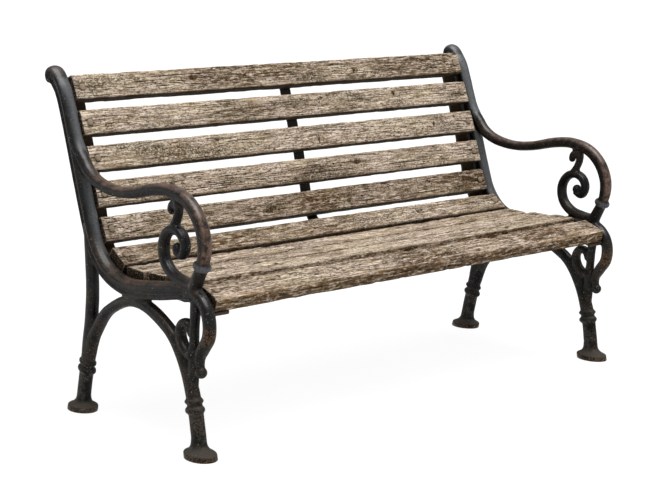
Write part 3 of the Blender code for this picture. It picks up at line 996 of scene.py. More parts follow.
@dataclass
class EndFrame:
    """One cast end frame: rail, legs, arm, scrolls, feet and slat flange in one casting.

    Rows of paths are Y, Z and thickness, which is a share of its depth for the rail. Rows of the collar are
    height, crest and half height. Rows of the foot are a share of its radius or neck, and height.
    """

    layout: BenchLayout
    draft: MeshDraft = field(default_factory=MeshDraft)
    fit: float = 0.985
    spacing: float = 0.004
    voxel: float = 0.0016
    fillet: float = 0.0021
    smooth_share: float = 0.5
    smooth_passes: int = 3
    kept_faces: float = 0.30
    lump_height: float = 0.0007
    lump_size: float = 0.03
    ball_steps: int = 17
    tip_taper: float = 1.25

    rail_depth: float = 0.042
    bead_depth: float = 0.028
    bead_fullness: float = 1.72
    web_width: float = 0.022
    web_fullness: float = 5.0
    rib_width: float = 0.029
    rib_depth: float = 0.012
    rib_fullness: float = 2.4
    rail: Path = (
        (0.2685, 0.7890, 0.98), (0.2435, 0.7299, 1.0), (0.2015, 0.6000, 1.0), (0.1620, 0.4800, 1.0),
        (0.1380, 0.4240, 1.0), (0.0910, 0.3760, 1.04), (0.0270, 0.3530, 1.06), (-0.0330, 0.3505, 1.08),
        (-0.1310, 0.3635, 1.08), (-0.2030, 0.3760, 1.0), (-0.2560, 0.3810, 0.85),
    )
    scroll_place: tuple[float, float] = (0.3024, 0.8225)
    scroll_radius: float = 0.0270
    scroll_root: float = 0.35
    rail_tip: float = 0.86
    roll_width: float = 0.038
    roll: Path = (
        (0.2335, 0.7330, 0.0160), (0.2460, 0.7640, 0.0180), (0.2580, 0.7925, 0.0190),
        (0.2675, 0.8070, 0.0190), (0.2780, 0.8205, 0.0190), (0.2885, 0.8325, 0.0180),
        (0.3024, 0.8396, 0.0175), (0.3150, 0.8346, 0.0170), (0.3196, 0.8225, 0.0155),
        (0.3140, 0.8110, 0.0125), (0.3035, 0.8085, 0.0100),
    )
    eye_plate: float = 0.0190
    eye_half: float = 0.0100
    eye_boss: float = 0.0085
    eye_boss_height: float = 0.0045
    eye_boss_angles: tuple[float, ...] = (80.0, 60.0, 40.0, 20.0)

    leg_width: float = 0.030
    leg_arch: Path = (
        (0.2185, 0.0060, 0.042), (0.1905, 0.1200, 0.042), (0.1785, 0.1580, 0.046),
        (0.1495, 0.2085, 0.032), (0.0822, 0.2796, 0.027), (-0.0354, 0.3205, 0.030),
        (-0.1605, 0.2800, 0.030), (-0.2175, 0.2178, 0.032), (-0.2540, 0.1328, 0.040),
        (-0.2780, 0.0060, 0.042),
    )
    rear_bar_width: float = 0.031
    rear_bar: Path = (
        (0.1640, 0.4800, 0.028), (0.1590, 0.3900, 0.033), (0.1580, 0.3150, 0.034),
        (0.1660, 0.2450, 0.035), (0.1820, 0.1700, 0.036), (0.1880, 0.1300, 0.034),
    )
    arm_width: float = 0.0315
    arm: Path = (
        (0.2064, 0.6671, 0.016), (0.1810, 0.6280, 0.030), (0.1560, 0.6010, 0.032),
        (0.1100, 0.5810, 0.029), (0.0420, 0.5715, 0.027), (-0.0290, 0.5770, 0.027),
        (-0.1140, 0.5950, 0.029), (-0.1755, 0.5995, 0.030), (-0.2330, 0.5870, 0.031),
        (-0.2735, 0.5575, 0.032), (-0.2970, 0.5160, 0.032), (-0.3005, 0.4800, 0.030),
        (-0.2905, 0.4450, 0.025), (-0.2690, 0.4040, 0.030), (-0.2580, 0.3800, 0.032),
    )
    arm_root: Path = (
        (0.2371, 0.7320, 0.0275), (0.2265, 0.7039, 0.0280), (0.2143, 0.6738, 0.0280),
        (0.1931, 0.6422, 0.0270), (0.1720, 0.6140, 0.0240),
    )
    arm_ring_point: int = 12
    arm_ring_radius: float = 0.0215
    arm_ring_length: float = 0.019
    arm_ring_core: float = 0.5
    front_scroll_width: float = 0.031
    front_scroll: Path = (
        (-0.2380, 0.3800, 0.030), (-0.2665, 0.3790, 0.030), (-0.2925, 0.3650, 0.030),
        (-0.3095, 0.3430, 0.030), (-0.3160, 0.3150, 0.030), (-0.3115, 0.2850, 0.030),
        (-0.2915, 0.2560, 0.028), (-0.2790, 0.2320, 0.021), (-0.2835, 0.2015, 0.014),
    )
    front_ball: float = 0.0138
    strut_width: float = 0.023
    strut: Path = (
        (-0.2660, 0.3620, 0.030), (-0.2640, 0.3400, 0.026), (-0.2605, 0.3050, 0.022),
        (-0.2580, 0.2650, 0.022), (-0.2560, 0.2380, 0.029), (-0.2525, 0.1750, 0.030),
        (-0.2505, 0.1460, 0.026),
    )
    curl_width: float = 0.028
    curl: Path = (
        (-0.2440, 0.2320, 0.025), (-0.2160, 0.2540, 0.024), (-0.2065, 0.2820, 0.023),
        (-0.2190, 0.3035, 0.023), (-0.2400, 0.3030, 0.021), (-0.2480, 0.2850, 0.016),
    )
    curl_ball: float = 0.0098
    knot_point: int = 4
    knot: float = 0.0185
    spiral_place: tuple[float, float] = (-0.2000, 0.4725)
    spiral_width: float = 0.028
    spiral_thickness: Span = (0.028, 0.019)
    spiral_radii: Span = (0.0655, 0.0215)
    spiral_angles: Span = (-75.0, 225.0)
    spiral_points: int = 9
    spiral_lead_in: Path = ((-0.2670, 0.3930, 0.034), (-0.2290, 0.3980, 0.029))
    spiral_ball: float = 0.0132
    stem_width: float = 0.024
    stem_angle: float = 68.0
    stem: Path = ((-0.1970, 0.5360, 0.018), (-0.2055, 0.5580, 0.018), (-0.2030, 0.5890, 0.023))
    leaf_width: float = 0.022
    leaf: Path = (
        (-0.2040, 0.5650, 0.022), (-0.1925, 0.5720, 0.022), (-0.1815, 0.5665, 0.020),
        (-0.1785, 0.5560, 0.017),
    )
    leaf_ball: float = 0.0095

    collar_height: float = 0.118
    collar_oval: float = 0.74
    collar_core: float = 0.8
    collar_rings: Path = ((-0.0090, 0.0278, 0.0090), (0.0110, 0.0266, 0.0064))
    foot_oval: float = 0.75
    foot_radius: float = 0.0460
    foot_neck: float = 0.0210
    foot_sunk: float = 0.004
    foot_core: float = 0.3
    foot_bell: Steps = ((1.0, 0.0105), (0.985, 0.0128), (0.945, 0.0142), (0.80, 0.0170), (0.64, 0.0210))
    foot_stem: Steps = ((1.16, 0.0275), (1.03, 0.0360), (0.95, 0.0450), (0.5, 0.0470))
    foot_sides: int = 48
    flange_root: float = 0.004
    flange_margin: float = 0.021
    flange_front_inset: float = 0.005

    def oval_bar(self, path: Path, width: float) -> None:
        """Sweep a bar of one width, narrower only where it tapers to a tip.

        Args:
            path: Rows of Y, Z and thickness.
            width: Width across the frame.
        """
        def section(size: float) -> Outline:
            """Give the bar's section at a thickness."""
            return oval(min(width, size * self.tip_taper) * self.fit, size * self.fit)
        self.draft.add_sweep(smooth_stations(path, self.spacing), section)

    def ball(self, place: Sequence[float], radius: float) -> None:
        """Add a ball end with its poles along X.

        Args:
            place: Y and Z of its middle.
            radius: Its radius.
        """
        profile = arc_profile(0.0, radius, 0.0, radius, self.ball_steps)[1:-1]
        self.draft.add_turned(profile, in_plane(place) @ Matrix.Rotation(math.pi / 2, 4, "Y"))

    def add_rail(self) -> None:
        """Add the rail: a round bead on the sitting side, a web and a rib behind it."""
        scroll = Vector(self.scroll_place)
        below = (Vector(self.rail[0][:2]) - scroll).normalized()
        root = scroll + below * self.scroll_radius * self.scroll_root
        stations = smooth_stations(((*root, self.rail_tip), *self.rail), self.spacing)
        front = self.rail_depth / 2
        bead = front - self.bead_depth / 2
        rib = -front + self.rib_depth / 2

        def bead_section(size: float) -> Outline:
            """Give the bead's section."""
            width = self.layout.rail_width * min(size, 1.0)
            return oval(width, self.bead_depth * size, bead * size, self.bead_fullness)

        def web_section(size: float) -> Outline:
            """Give the web's section."""
            width = self.web_width * min(size, 1.0)
            return oval(width, (bead - rib) * size, (bead + rib) / 2 * size, self.web_fullness)

        def rib_section(size: float) -> Outline:
            """Give the rib's section."""
            width = self.rib_width * min(size, 1.0)
            return oval(width, self.rib_depth * size, rib * size, self.rib_fullness)

        for section in (bead_section, web_section, rib_section):
            self.draft.add_sweep(stations, section)

    def add_top_scroll(self) -> None:
        """Roll the rail's bead over at the top of the back, round an eye with a boss on each face."""
        def roll_section(size: float) -> Outline:
            """Give the roll's section at a thickness."""
            return oval(self.roll_width, size, 0.0, self.bead_fullness)
        self.draft.add_sweep(smooth_stations(self.roll, self.spacing), roll_section)
        face = dome(self.eye_boss, self.eye_half, self.eye_boss_height, self.eye_boss_angles)
        face += [(self.eye_boss, self.eye_half), (self.eye_plate, self.eye_half)]
        profile = face + [(radius, -height) for radius, height in reversed(face)]
        self.draft.add_turned(profile, in_plane(self.scroll_place) @ Matrix.Rotation(math.pi / 2, 4, "Y"))

    def add_arm_root(self) -> None:
        """Ease the rail's bead out into the arm."""
        def root_section(size: float) -> Outline:
            """Give the root's section at a thickness, shaped as the bead's."""
            return oval(self.layout.rail_width / self.bead_depth * size, size, 0.0, self.bead_fullness)
        self.draft.add_sweep(smooth_stations(self.arm_root, self.spacing), root_section)

    def spiral_point(self, angle: float) -> tuple[float, float, float]:
        """Find a point of the spiral.

        Args:
            angle: Place along the spiral, in degrees.

        Returns:
            Its Y, Z and thickness.
        """
        share = (angle - self.spiral_angles[0]) / (self.spiral_angles[1] - self.spiral_angles[0])
        radius = self.spiral_radii[0] + (self.spiral_radii[1] - self.spiral_radii[0]) * share
        thickness = self.spiral_thickness[0] + (self.spiral_thickness[1] - self.spiral_thickness[0]) * share
        turn = math.radians(angle)
        y, z = self.spiral_place
        return y + radius * math.cos(turn), z + radius * math.sin(turn), thickness

    def spiral_path(self) -> Path:
        """List the spiral's points.

        Returns:
            Rows of Y, Z and thickness, from its lead-in to its eye.
        """
        step = (self.spiral_angles[1] - self.spiral_angles[0]) / (self.spiral_points - 1)
        turns = [self.spiral_point(self.spiral_angles[0] + step * k) for k in range(self.spiral_points)]
        eye = (self.spiral_place[0] + self.spiral_ball / 3, self.spiral_place[1] - self.spiral_ball / 2)
        return [*self.spiral_lead_in, *turns, (*eye, self.spiral_thickness[1])]

    def add_leg_turnings(self) -> None:
        """Add the feet and the double rings of both legs."""
        flat = Matrix.Diagonal((self.foot_oval, 1.0, 1.0, 1.0))
        squeezed = Matrix.Diagonal((self.collar_oval, 1.0, 1.0, 1.0))
        radius, neck = self.foot_radius, self.foot_neck
        foot = [(radius * self.foot_core, -self.foot_sunk), (radius, -self.foot_sunk)]
        foot += [(radius * share, height) for share, height in self.foot_bell]
        foot += [(neck * share, height) for share, height in self.foot_stem]
        for ankle, knee in (self.leg_arch[:2], self.leg_arch[:-3:-1]):
            follow = Matrix.Identity(4)
            follow[1][2] = (knee[0] - ankle[0]) / (knee[1] - ankle[1])
            self.draft.add_turned(foot, in_plane((ankle[0], 0.0)) @ follow @ flat, self.foot_sides)
            share = (self.collar_height - ankle[1]) / (knee[1] - ankle[1])
            place = (ankle[0] + (knee[0] - ankle[0]) * share, self.collar_height)
            lean = math.degrees(math.atan2(ankle[0] - knee[0], knee[1] - ankle[1]))
            for height, crest, half in self.collar_rings:
                ring = arc_profile(ankle[2] / 2 * self.collar_core, crest, height, half)
                self.draft.add_turned(ring, in_plane(place, lean) @ squeezed)

    def add_arm_ring(self) -> None:
        """Add the ring at the foot of the arm, square to the arm's run."""
        before, place, after = (Vector(self.arm[self.arm_ring_point + k][:2]) for k in (-1, 0, 1))
        run = before - after
        lean = math.degrees(math.atan2(-run.x, run.y))
        radius, half = self.arm_ring_radius, self.arm_ring_length / 2
        ring = arc_profile(radius * self.arm_ring_core, radius, 0.0, half)
        self.draft.add_turned(ring, in_plane(place, lean))

    def add_flange(self) -> None:
        """Add the flange that carries the slat ends, bent along the backs of the slats."""
        layout = self.layout
        line = layout.bearing_line()
        line[-1] += (line[-2] - line[-1]).normalized() * self.flange_front_inset
        edge = layout.rail_width / 2 + layout.slat_end_gap + layout.bolt_inset + self.flange_margin
        self.draft.add_rings(bent_rings(line, layout.flange_thickness, self.flange_root, edge))

    def add_bodies(self) -> None:
        """Gather the casting's bodies, in the plane X = 0 with the flange on the +X side."""
        self.add_rail()
        self.add_top_scroll()
        bars = (
            (self.leg_arch, self.leg_width),
            (self.rear_bar, self.rear_bar_width),
            (self.arm, self.arm_width),
            (self.front_scroll, self.front_scroll_width),
            (self.strut, self.strut_width),
            (self.curl, self.curl_width),
            (self.spiral_path(), self.spiral_width),
            ((self.spiral_point(self.stem_angle), *self.stem), self.stem_width),
            (self.leaf, self.leaf_width),
        )
        for path, width in bars:
            self.oval_bar(path, width)
        balls = (
            (self.front_scroll[-1][:2], self.front_ball),
            (self.curl[-1][:2], self.curl_ball),
            (self.strut[self.knot_point][:2], self.knot),
            (self.spiral_place, self.spiral_ball),
            (self.leaf[-1][:2], self.leaf_ball),
        )
        for place, radius in balls:
            self.ball(place, radius)
        self.add_leg_turnings()
        self.add_arm_root()
        self.add_arm_ring()
        self.add_flange()

    def cast(self) -> bpy.types.Mesh:
        """Fuse the bodies into one skin with filleted joins, as a casting has.

        Returns:
            The casting's mesh, in the plane X = 0.
        """
        self.add_bodies()
        body = add_object("casting", self.draft.to_mesh("casting"))
        for swell in (self.fillet, -self.fillet):
            skin = body.modifiers.new("skin", "REMESH")
            skin.mode = "VOXEL"
            skin.voxel_size = self.voxel
            shift = body.modifiers.new("swell", "DISPLACE")
            shift.mid_level = 0.0
            shift.strength = swell
        ease = body.modifiers.new("ease", "SMOOTH")
        ease.factor = self.smooth_share
        ease.iterations = self.smooth_passes
        texture = bpy.data.textures.new("sand_mould", "CLOUDS")
        texture.noise_scale = self.lump_size
        lumps = body.modifiers.new("lumps", "DISPLACE")
        lumps.texture = texture
        lumps.strength = self.lump_height
        thin = body.modifiers.new("thin", "DECIMATE")
        thin.ratio = self.kept_faces
        graph = bpy.context.evaluated_depsgraph_get()
        mesh = bpy.data.meshes.new_from_object(body.evaluated_get(graph))
        bpy.data.objects.remove(body, do_unlink=True)
        rework(mesh, self.flatten_soles)
        return mesh

    def flatten_soles(self, shape: bmesh.types.BMesh) -> None:
        """Cut the feet off flat at the ground.

        Args:
            shape: Open mesh of the casting.
        """
        everything = [*shape.verts, *shape.edges, *shape.faces]
        cut = bmesh.ops.bisect_plane(
            shape, geom=everything, plane_co=(0, 0, 0), plane_no=(0, 0, -1), clear_outer=True)
        rim = [item for item in cut["geom_cut"] if isinstance(item, bmesh.types.BMEdge)]
        soles = bmesh.ops.edgeloop_fill(shape, edges=rim)["faces"]
        bmesh.ops.triangulate(shape, faces=soles)

    def keep_in_box(self, mesh: bpy.types.Mesh, node: str) -> None:
        """Hold a casting within the box of its solid.

        Args:
            mesh: Casting to hold.
            node: Name of the solid.
        """
        low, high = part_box(node)
        held = np.clip(read_points(mesh), np.array(low), np.array(high))
        mesh.vertices.foreach_set("co", held.astype(np.float32).ravel())
        mesh.update()

    def build(self, finish: bpy.types.Material) -> None:
        """Cast the frame and set one at each end of the bench.

        Args:
            finish: Material of the casting.
        """
        casting = self.cast()
        casting.shade_smooth()
        for side in Side:
            node = f"end_frame_{side.value}"
            mesh = casting.copy()
            mesh.name = node
            if side is Side.RIGHT:
                mesh.transform(Matrix.Scale(-1.0, 4, (1.0, 0.0, 0.0)))
                mesh.flip_normals()
            mesh.transform(Matrix.Translation((side.sign * self.layout.frame_spacing / 2, 0.0, 0.0)))
            self.keep_in_box(mesh, node)
            IronWear(self, mesh, side).mark()
            add_piece(node, mesh, finish, Matrix.Identity(4))
        bpy.data.meshes.remove(casting)


@dataclass
class IronWear:
    """Wear of one casting, with painted sheen, highlight and shade, stored on its points for the finish to
    read.

    A span runs from where a mark starts to where it is full. A facing is 1 square on and -1 facing away.
    """

    frame: EndFrame
    mesh: bpy.types.Mesh
    side: Side
    line_step: float = 0.008
    arm_reach: float = 0.024
    arm_core: float = 0.8
    arm_facing: Span = (0.1, 0.8)
    arm_start: Span = (0.0, 0.30)
    rail_reach: Span = (0.7, 0.8)
    rail_facing: Span = (0.2, 0.8)
    crest_facing: Span = (0.4, 0.95)
    inner_facing: Span = (-0.80, 0.10)
    back_heights: Span = (0.37, 0.47)
    roll_core: float = 0.4
    seat_rail_wear: float = 0.45
    # Shares of pale paint with a painted sheen on the roll and the crest, set apart for each frame as each
    # is lit; the rest of the roll is worn brown
    left_fade: float = 0.45
    right_fade: float = 0.90
    left_crest_fade_and_sheen: float = 0.95
    right_crest_fade_and_sheen: float = 1.00
    flange_start: Span = (-0.001, 0.002)
    flange_floor: float = 0.236
    flange_facing: Span = (-0.4, 0.1)
    ring_reach: float = 1.3
    ring_core: float = 0.4
    rust_place: tuple[float, float] = (-0.318, 0.292)
    rust_reach: float = 0.030
    rust_core: float = 0.4
    foot_rust: float = 0.8
    foot_rust_heights: Span = (0.004, 0.020)
    hollow_rise: Span = (0.00006, 0.0004)
    hollow_shade_and_dirt: float = 0.8
    places: np.ndarray = field(init=False)
    normals: np.ndarray = field(init=False)

    def __post_init__(self) -> None:
        """Read the casting's points and normals."""
        self.places = read_points(self.mesh)
        normals = np.empty(self.places.size, np.float32)
        self.mesh.vertex_normals.foreach_get("vector", normals)
        self.normals = normals.reshape(-1, 3)

    @property
    def height(self) -> np.ndarray:
        """Heights of the points above the ground."""
        return self.places[:, 2]

    def along_bar(self, path: Path) -> tuple[np.ndarray, np.ndarray, np.ndarray]:
        """Find where the casting's points lie along a bar.

        Args:
            path: Rows of the bar.

        Returns:
            Distances from the bar's line, shares along it, and how far the points face its outward side.
        """
        stations = smooth_stations(path, self.line_step)
        line = np.array([station.place for station in stations])
        outward = np.array([station.outward for station in stations])
        gaps = np.linalg.norm(self.places[:, None, 1:] - line[None, :, 1:], axis=2)
        nearest = gaps.argmin(axis=1)
        facing = (self.normals * outward[nearest]).sum(axis=1)
        return gaps.min(axis=1), nearest / len(stations), facing

    def mark_tops(self) -> None:
        """Store where the arm, the rail's bead and its roll are worn brown, and where the rail's crest and
        the roll show pale paint with a painted sheen.
        """
        frame, height = self.frame, self.height
        gap, share, facing = self.along_bar(frame.arm)
        above_ring = smoothstep(0.0, frame.arm_ring_length, height - frame.arm[frame.arm_ring_point][1])
        on_arm = fall(self.arm_reach * self.arm_core, self.arm_reach, gap) * above_ring
        handled = on_arm * smoothstep(*self.arm_facing, facing) * smoothstep(*self.arm_start, share)

        gap, _, facing = self.along_bar(frame.rail)
        near, far = (frame.rail_depth * reach for reach in self.rail_reach)
        on_rail = fall(near, far, gap) * smoothstep(*self.rail_facing, facing)
        on_back = smoothstep(*self.back_heights, height)
        radius = frame.scroll_radius
        on_roll = smoothstep(-radius * self.roll_core, radius, height - frame.scroll_place[1])
        at_right = self.side is Side.RIGHT
        # Pale paint with a painted sheen on the crest and roll, in a share for each frame
        roll_fade_and_sheen, pale = (self.right_fade, self.right_crest_fade_and_sheen) if at_right else (self.left_fade, self.left_crest_fade_and_sheen)
        inward = smoothstep(*self.inner_facing, -self.side.sign * self.normals[:, 0])
        crest = on_rail * smoothstep(*self.crest_facing, facing) * on_back * inward
        set_values(self.mesh, "faded_and_sheen", np.maximum(pale * crest, roll_fade_and_sheen * roll_fade_and_sheen * on_roll))
        on_seat = on_rail * (1.0 - on_back) * self.seat_rail_wear
        set_values(self.mesh, "worn", np.maximum(np.maximum(handled, on_seat), on_roll * (1.0 - roll_fade_and_sheen)))

    def mark_flange(self) -> None:
        """Store the painted shade on the flange behind the slats, on its sides towards them."""
        layout = self.frame.layout
        inside = layout.frame_spacing / 2 - self.side.sign * self.places[:, 0] - layout.rail_width / 2
        on_flange = smoothstep(*self.flange_start, inside) * (self.height > self.flange_floor)
        to_slats = smoothstep(*self.flange_facing, self.normals[:, 2] - self.normals[:, 1])
        set_values(self.mesh, "flange_shade", on_flange * to_slats)

    def mark_ring(self) -> None:
        """Store where the ring at the foot of the arm is rubbed, with a painted highlight on it."""
        arm, point = self.frame.arm, self.frame.arm_ring_point
        before, ring, after = (np.array(arm[point + k][:2]) for k in (-1, 0, 1))
        from_ring = self.places[:, 1:] - ring
        along = np.abs(from_ring @ (before - after)) / np.linalg.norm(before - after)
        near_ring = np.linalg.norm(from_ring, axis=1) < self.frame.arm_ring_radius * self.ring_reach
        half = self.frame.arm_ring_length / 2
        set_values(self.mesh, "rubbed_and_highlight", near_ring * fall(half * self.ring_core, half, along))

    def mark_rust(self) -> None:
        """Store where the front scroll and the feet have rusted."""
        gap = np.linalg.norm(self.places[:, 1:] - np.array(self.rust_place), axis=1)
        on_scroll = fall(self.rust_reach * self.rust_core, self.rust_reach, gap)
        on_feet = self.foot_rust * fall(*self.foot_rust_heights, self.height)
        set_values(self.mesh, "rust", np.maximum(on_scroll, on_feet))

    def mark_hollows(self) -> None:
        """Store the painted shade with dirt in the hollows, from how far each point lies below its
        neighbours.
        """
        count = len(self.places)
        edges = np.empty(len(self.mesh.edges) * 2, np.int32)
        self.mesh.edges.foreach_get("vertices", edges)
        edges = edges.reshape(-1, 2)
        around = np.zeros((count, 3))
        number = np.zeros(count)
        for near, far in ((0, 1), (1, 0)):
            np.add.at(around, edges[:, near], self.places[edges[:, far]])
            np.add.at(number, edges[:, near], 1.0)
        middle = around / np.maximum(number, 1)[:, None]
        rise = ((middle - self.places) * self.normals).sum(axis=1)
        set_values(self.mesh, "cavity", smoothstep(*self.hollow_rise, rise) * self.hollow_shade_and_dirt)

    def mark(self) -> None:
        """Store every kind of wear, and the painted sheen, highlight and shade."""
        self.mark_tops()
        self.mark_flange()
        self.mark_ring()
        self.mark_rust()
        self.mark_hollows()


def bent_rings(line: Sequence[Vector], thickness: float, left: float, right: float) -> list[list[Vector]]:
    """Give the rings of a flat strip bent along a line, thick on the far side from the slats.

    Args:
        line: Points of the side that touches the slats.
        thickness: Thickness of the strip.
        left: X of its left edge.
        right: X of its right edge.

    Returns:
        Rings of four points.
    """
    rings = []
    last = len(line) - 1
    for index, place in enumerate(line):
        before = (place - line[max(index - 1, 0)]).normalized()
        after = (line[min(index + 1, last)] - place).normalized()
        before = before if index > 0 else after
        after = after if index < last else before
        tangent = (before + after).normalized()
        drop = Vector((0.0, -tangent.z, tangent.y)) * thickness / max(SHARPEST_MITRE, tangent.dot(after))
        near = (place + Vector((left, 0, 0)), place + Vector((right, 0, 0)))
        rings.append([near[0], near[1], near[1] + drop, near[0] + drop])
    return rings


@dataclass(frozen=True)
class BoardSection:
    """Stations round a board's section: their places, normals, check depths and nearness to a corner."""

    place: np.ndarray
    normal: np.ndarray
    check: np.ndarray
    corner: np.ndarray


@dataclass(frozen=True)
class Patches:
    """Noise on a board: width and length of its patches, where it is read, and its layers."""

    width: float
    length: float
    offset: float = 0.0
    layers: int = 2


@dataclass
class TimberSlat:
    """One weathered slat: a gridded board with checks along the grain, worn edges and rough ends.

    What varies over the board is an array of stations round its section by places along it.
    """

    layout: BenchLayout
    place: SlatPlace
    seed: int
    tone: float
    knots: Path = ()
    noise_seed_shift: int = 100
    step: float = 0.008
    place_digits: int = 5
    edge_round: float = 0.005
    corner_reach: float = 0.004
    face_facing: float = 0.5
    flat_facing: float = 0.9
    widest_gap: float = 0.0042
    weld: float = 0.00001
    crease: float = 48.0

    check_spacing: float = 0.0052
    check_jitter: float = 0.22
    check_width: float = 0.0011
    check_widths: Span = (0.6, 1.3)
    check_depth: float = 0.0021
    check_depths: Span = (0.5, 1.3)
    check_run: float = 0.055
    check_run_spread: float = 0.05
    check_run_stride: float = 1.9
    check_lane_stride: float = 3.7
    check_lane_shift: float = 11.0
    check_opening: Span = (0.02, 0.45)
    side_sparseness: float = 1.5
    back_sparseness: float = 1.8
    end_check_aim: float = 0.006
    end_check_reach: float = 0.11
    end_check_lengths: Span = (0.5, 1.0)
    end_check_core: float = 0.4
    end_check_depth: float = 0.0028

    corner_lanes: float = 3.0
    edge_wear: float = 0.0020
    seat_edge_wear: float = 0.0036
    seat_chips: Patches = Patches(1.0, 0.022, layers=3)
    back_chips: Patches = Patches(1.0, 0.045, layers=3)
    chip_span: Span = (-0.1, 0.8)
    chip_bare: float = 0.25
    front_edge_wear: float = 0.0036
    front_edge_reach: float = 0.0055
    front_bites: Patches = Patches(1.0, 0.07, 40.0, 3)
    bite_span: Span = (0.0, 0.6)
    bite_bare: float = 0.6
    seat_hollow: float = 0.0030
    surface_wear: float = 0.0005
    surface_grain: float = 0.006
    surface_patches: Patches = Patches(1.0, 0.030, layers=3)
    wander: float = 0.0006
    sway_patches: Patches = Patches(0.02, 0.16)

    knot_step: float = 0.0012
    knot_steps: int = 5
    knot_dark: float = 0.9
    knot_stretch: float = 1.4
    knot_run: float = 3.0
    knot_fall: float = 0.25
    scar_width: float = 0.0016
    scar_depth: float = 0.0016
    scar_slant: float = 0.12
    scar_share: float = 0.9

    shaded_side: float = 0.8
    shaded_front: float = 0.90
    front_facing: Span = (0.55, 0.95)
    # Painted shade along the back slats' lower edges, patchy along them
    shaded_edge: float = 0.9
    shaded_reach: float = 0.0045
    edge_shade_mean: float = 0.85
    edge_shade_spread: float = 0.3
    edge_shade_patches: Patches = Patches(0.02, 0.03, 80.0)
    dark_patches: Patches = Patches(0.05, 0.20, 23.0, 3)
    seat_contrast: float = 0.60
    back_contrast: float = 0.80
    # Stain with a painted contact shadow round the bolt heads
    stain: float = 0.9
    stain_reach: Span = (0.0098, 0.0124)

    grain_wave: float = 0.0030
    grain_patches: Patches = Patches(0.03, 0.07, 61.0)
    grain_offsets: Span = (3.0, 60.0)
    seat_grain: float = 0.72
    end_rough: float = 0.0016
    end_grain: float = 0.006
    end_round: float = 0.0012
    end_rings: Steps = ((0.965, 0.6), (0.86, 1.0), (0.64, 1.0), (0.40, 1.0), (0.16, 1.0), (0.0, 1.0))

    random: np.random.Generator = field(init=False)
    noise: LatticeNoise = field(init=False)
    width: float = field(init=False)
    length: float = field(init=False)
    thickness: float = field(init=False)
    on_seat: bool = field(init=False)
    is_front: bool = field(init=False)
    section: BoardSection = field(init=False)
    x: np.ndarray = field(init=False)

    def __post_init__(self) -> None:
        """Start the slat's own random draw and noise, and lay out its grid."""
        self.random = np.random.default_rng(self.seed)
        self.noise = LatticeNoise(self.seed + self.noise_seed_shift)
        self.width = self.layout.width(self.place.kind)
        self.length = self.layout.slat_length()
        self.thickness = self.layout.slat_thickness
        self.on_seat = self.place.kind is SlatKind.SEAT
        self.is_front = self.place == self.layout.slats()[-1]
        self.section = self.lay_section()
        self.x = self.places_along()

    def run_stations(self, start: float, end: float, spacing: float) -> Outline:
        """Choose the stations across one side, with three for each check.

        Args:
            start: First place.
            end: Last place.
            spacing: Mean distance between checks.

        Returns:
            Rows of place and check depth, where a depth of 0 is plain wood.
        """
        reach = abs(end - start)
        count = max(1, round(reach / spacing))
        rows = [(0.0, 0.0)]
        for k in range(count):
            jitter = self.random.uniform(-self.check_jitter, self.check_jitter)
            middle = reach * (k + 0.5 + jitter) / count
            half = self.check_width * self.random.uniform(*self.check_widths)
            depth = self.check_depth * self.random.uniform(*self.check_depths)
            rows += [(middle - half, 0.0), (middle, depth), (middle + half, 0.0)]
        rows.append((reach, 0.0))
        filled = [rows[0]]
        for row in rows[1:]:
            gap = row[0] - filled[-1][0]
            parts = math.ceil(gap / self.widest_gap)
            filled += [(row[0] - gap + gap * k / parts, 0.0) for k in range(1, parts)]
            filled.append(row)
        return [(start + math.copysign(place, end - start), depth) for place, depth in filled]

    def lay_section(self) -> BoardSection:
        """Lay out the stations round the board's section.

        Returns:
            The stations, from the lower edge of the face up it and round.
        """
        half, back, corner = self.width / 2, -self.thickness, self.edge_round
        on_sides = self.check_spacing * self.side_sparseness
        on_back = self.check_spacing * self.back_sparseness
        sides = (
            ((1, 0), (-half + corner, half - corner), 0.0, self.check_spacing, (0, 1)),
            ((0, 1), (-corner, back + corner), half, on_sides, (1, 0)),
            ((1, 0), (half - corner, -half + corner), back, on_back, (0, -1)),
            ((0, 1), (back + corner, -corner), -half, on_sides, (-1, 0)),
        )
        rows = []
        for index, (along, (start, end), fixed, spacing, normal) in enumerate(sides):
            for place, depth in self.run_stations(start, end, spacing):
                point = (place, fixed) if along[0] else (fixed, place)
                to_corner = min(abs(place - start), abs(place - end))
                rows.append((*point, *normal, depth, math.exp(-to_corner / self.corner_reach)))
            after = sides[(index + 1) % 4][4]
            centre = (rows[-1][0] - normal[0] * corner, rows[-1][1] - normal[1] * corner)
            for turn in (math.pi / 8, math.pi / 4, 3 * math.pi / 8):
                ny = normal[0] * math.cos(turn) + after[0] * math.sin(turn)
                nz = normal[1] * math.cos(turn) + after[1] * math.sin(turn)
                rows.append((centre[0] + ny * corner, centre[1] + nz * corner, ny, nz, 0.0, 1.0))
        table = np.array(rows)
        return BoardSection(table[:, :2], table[:, 2:4], table[:, 4], table[:, 5])

    def places_along(self) -> np.ndarray:
        """Choose the places along the board.

        Returns:
            Places from left to right, closer together at the knots.
        """
        inner = self.length / 2 - self.end_round
        x = np.linspace(-inner, inner, round(2 * inner / self.step) + 1)
        fine = self.knot_step * np.arange(-self.knot_steps, self.knot_steps + 1)
        near = [knot_x + fine for knot_x, _, _ in self.knots]
        return np.unique(np.concatenate([x, *near]).round(self.place_digits))

    def patchy(self, across: np.ndarray, patches: Patches) -> np.ndarray:
        """Read noise over the board.

        Args:
            across: Places of the stations across the board, as a column.
            patches: Settings of the noise.

        Returns:
            Values of about -1 to 1.
        """
        return self.noise.layered(
            across / patches.width + patches.offset, self.x / patches.length, patches.layers)

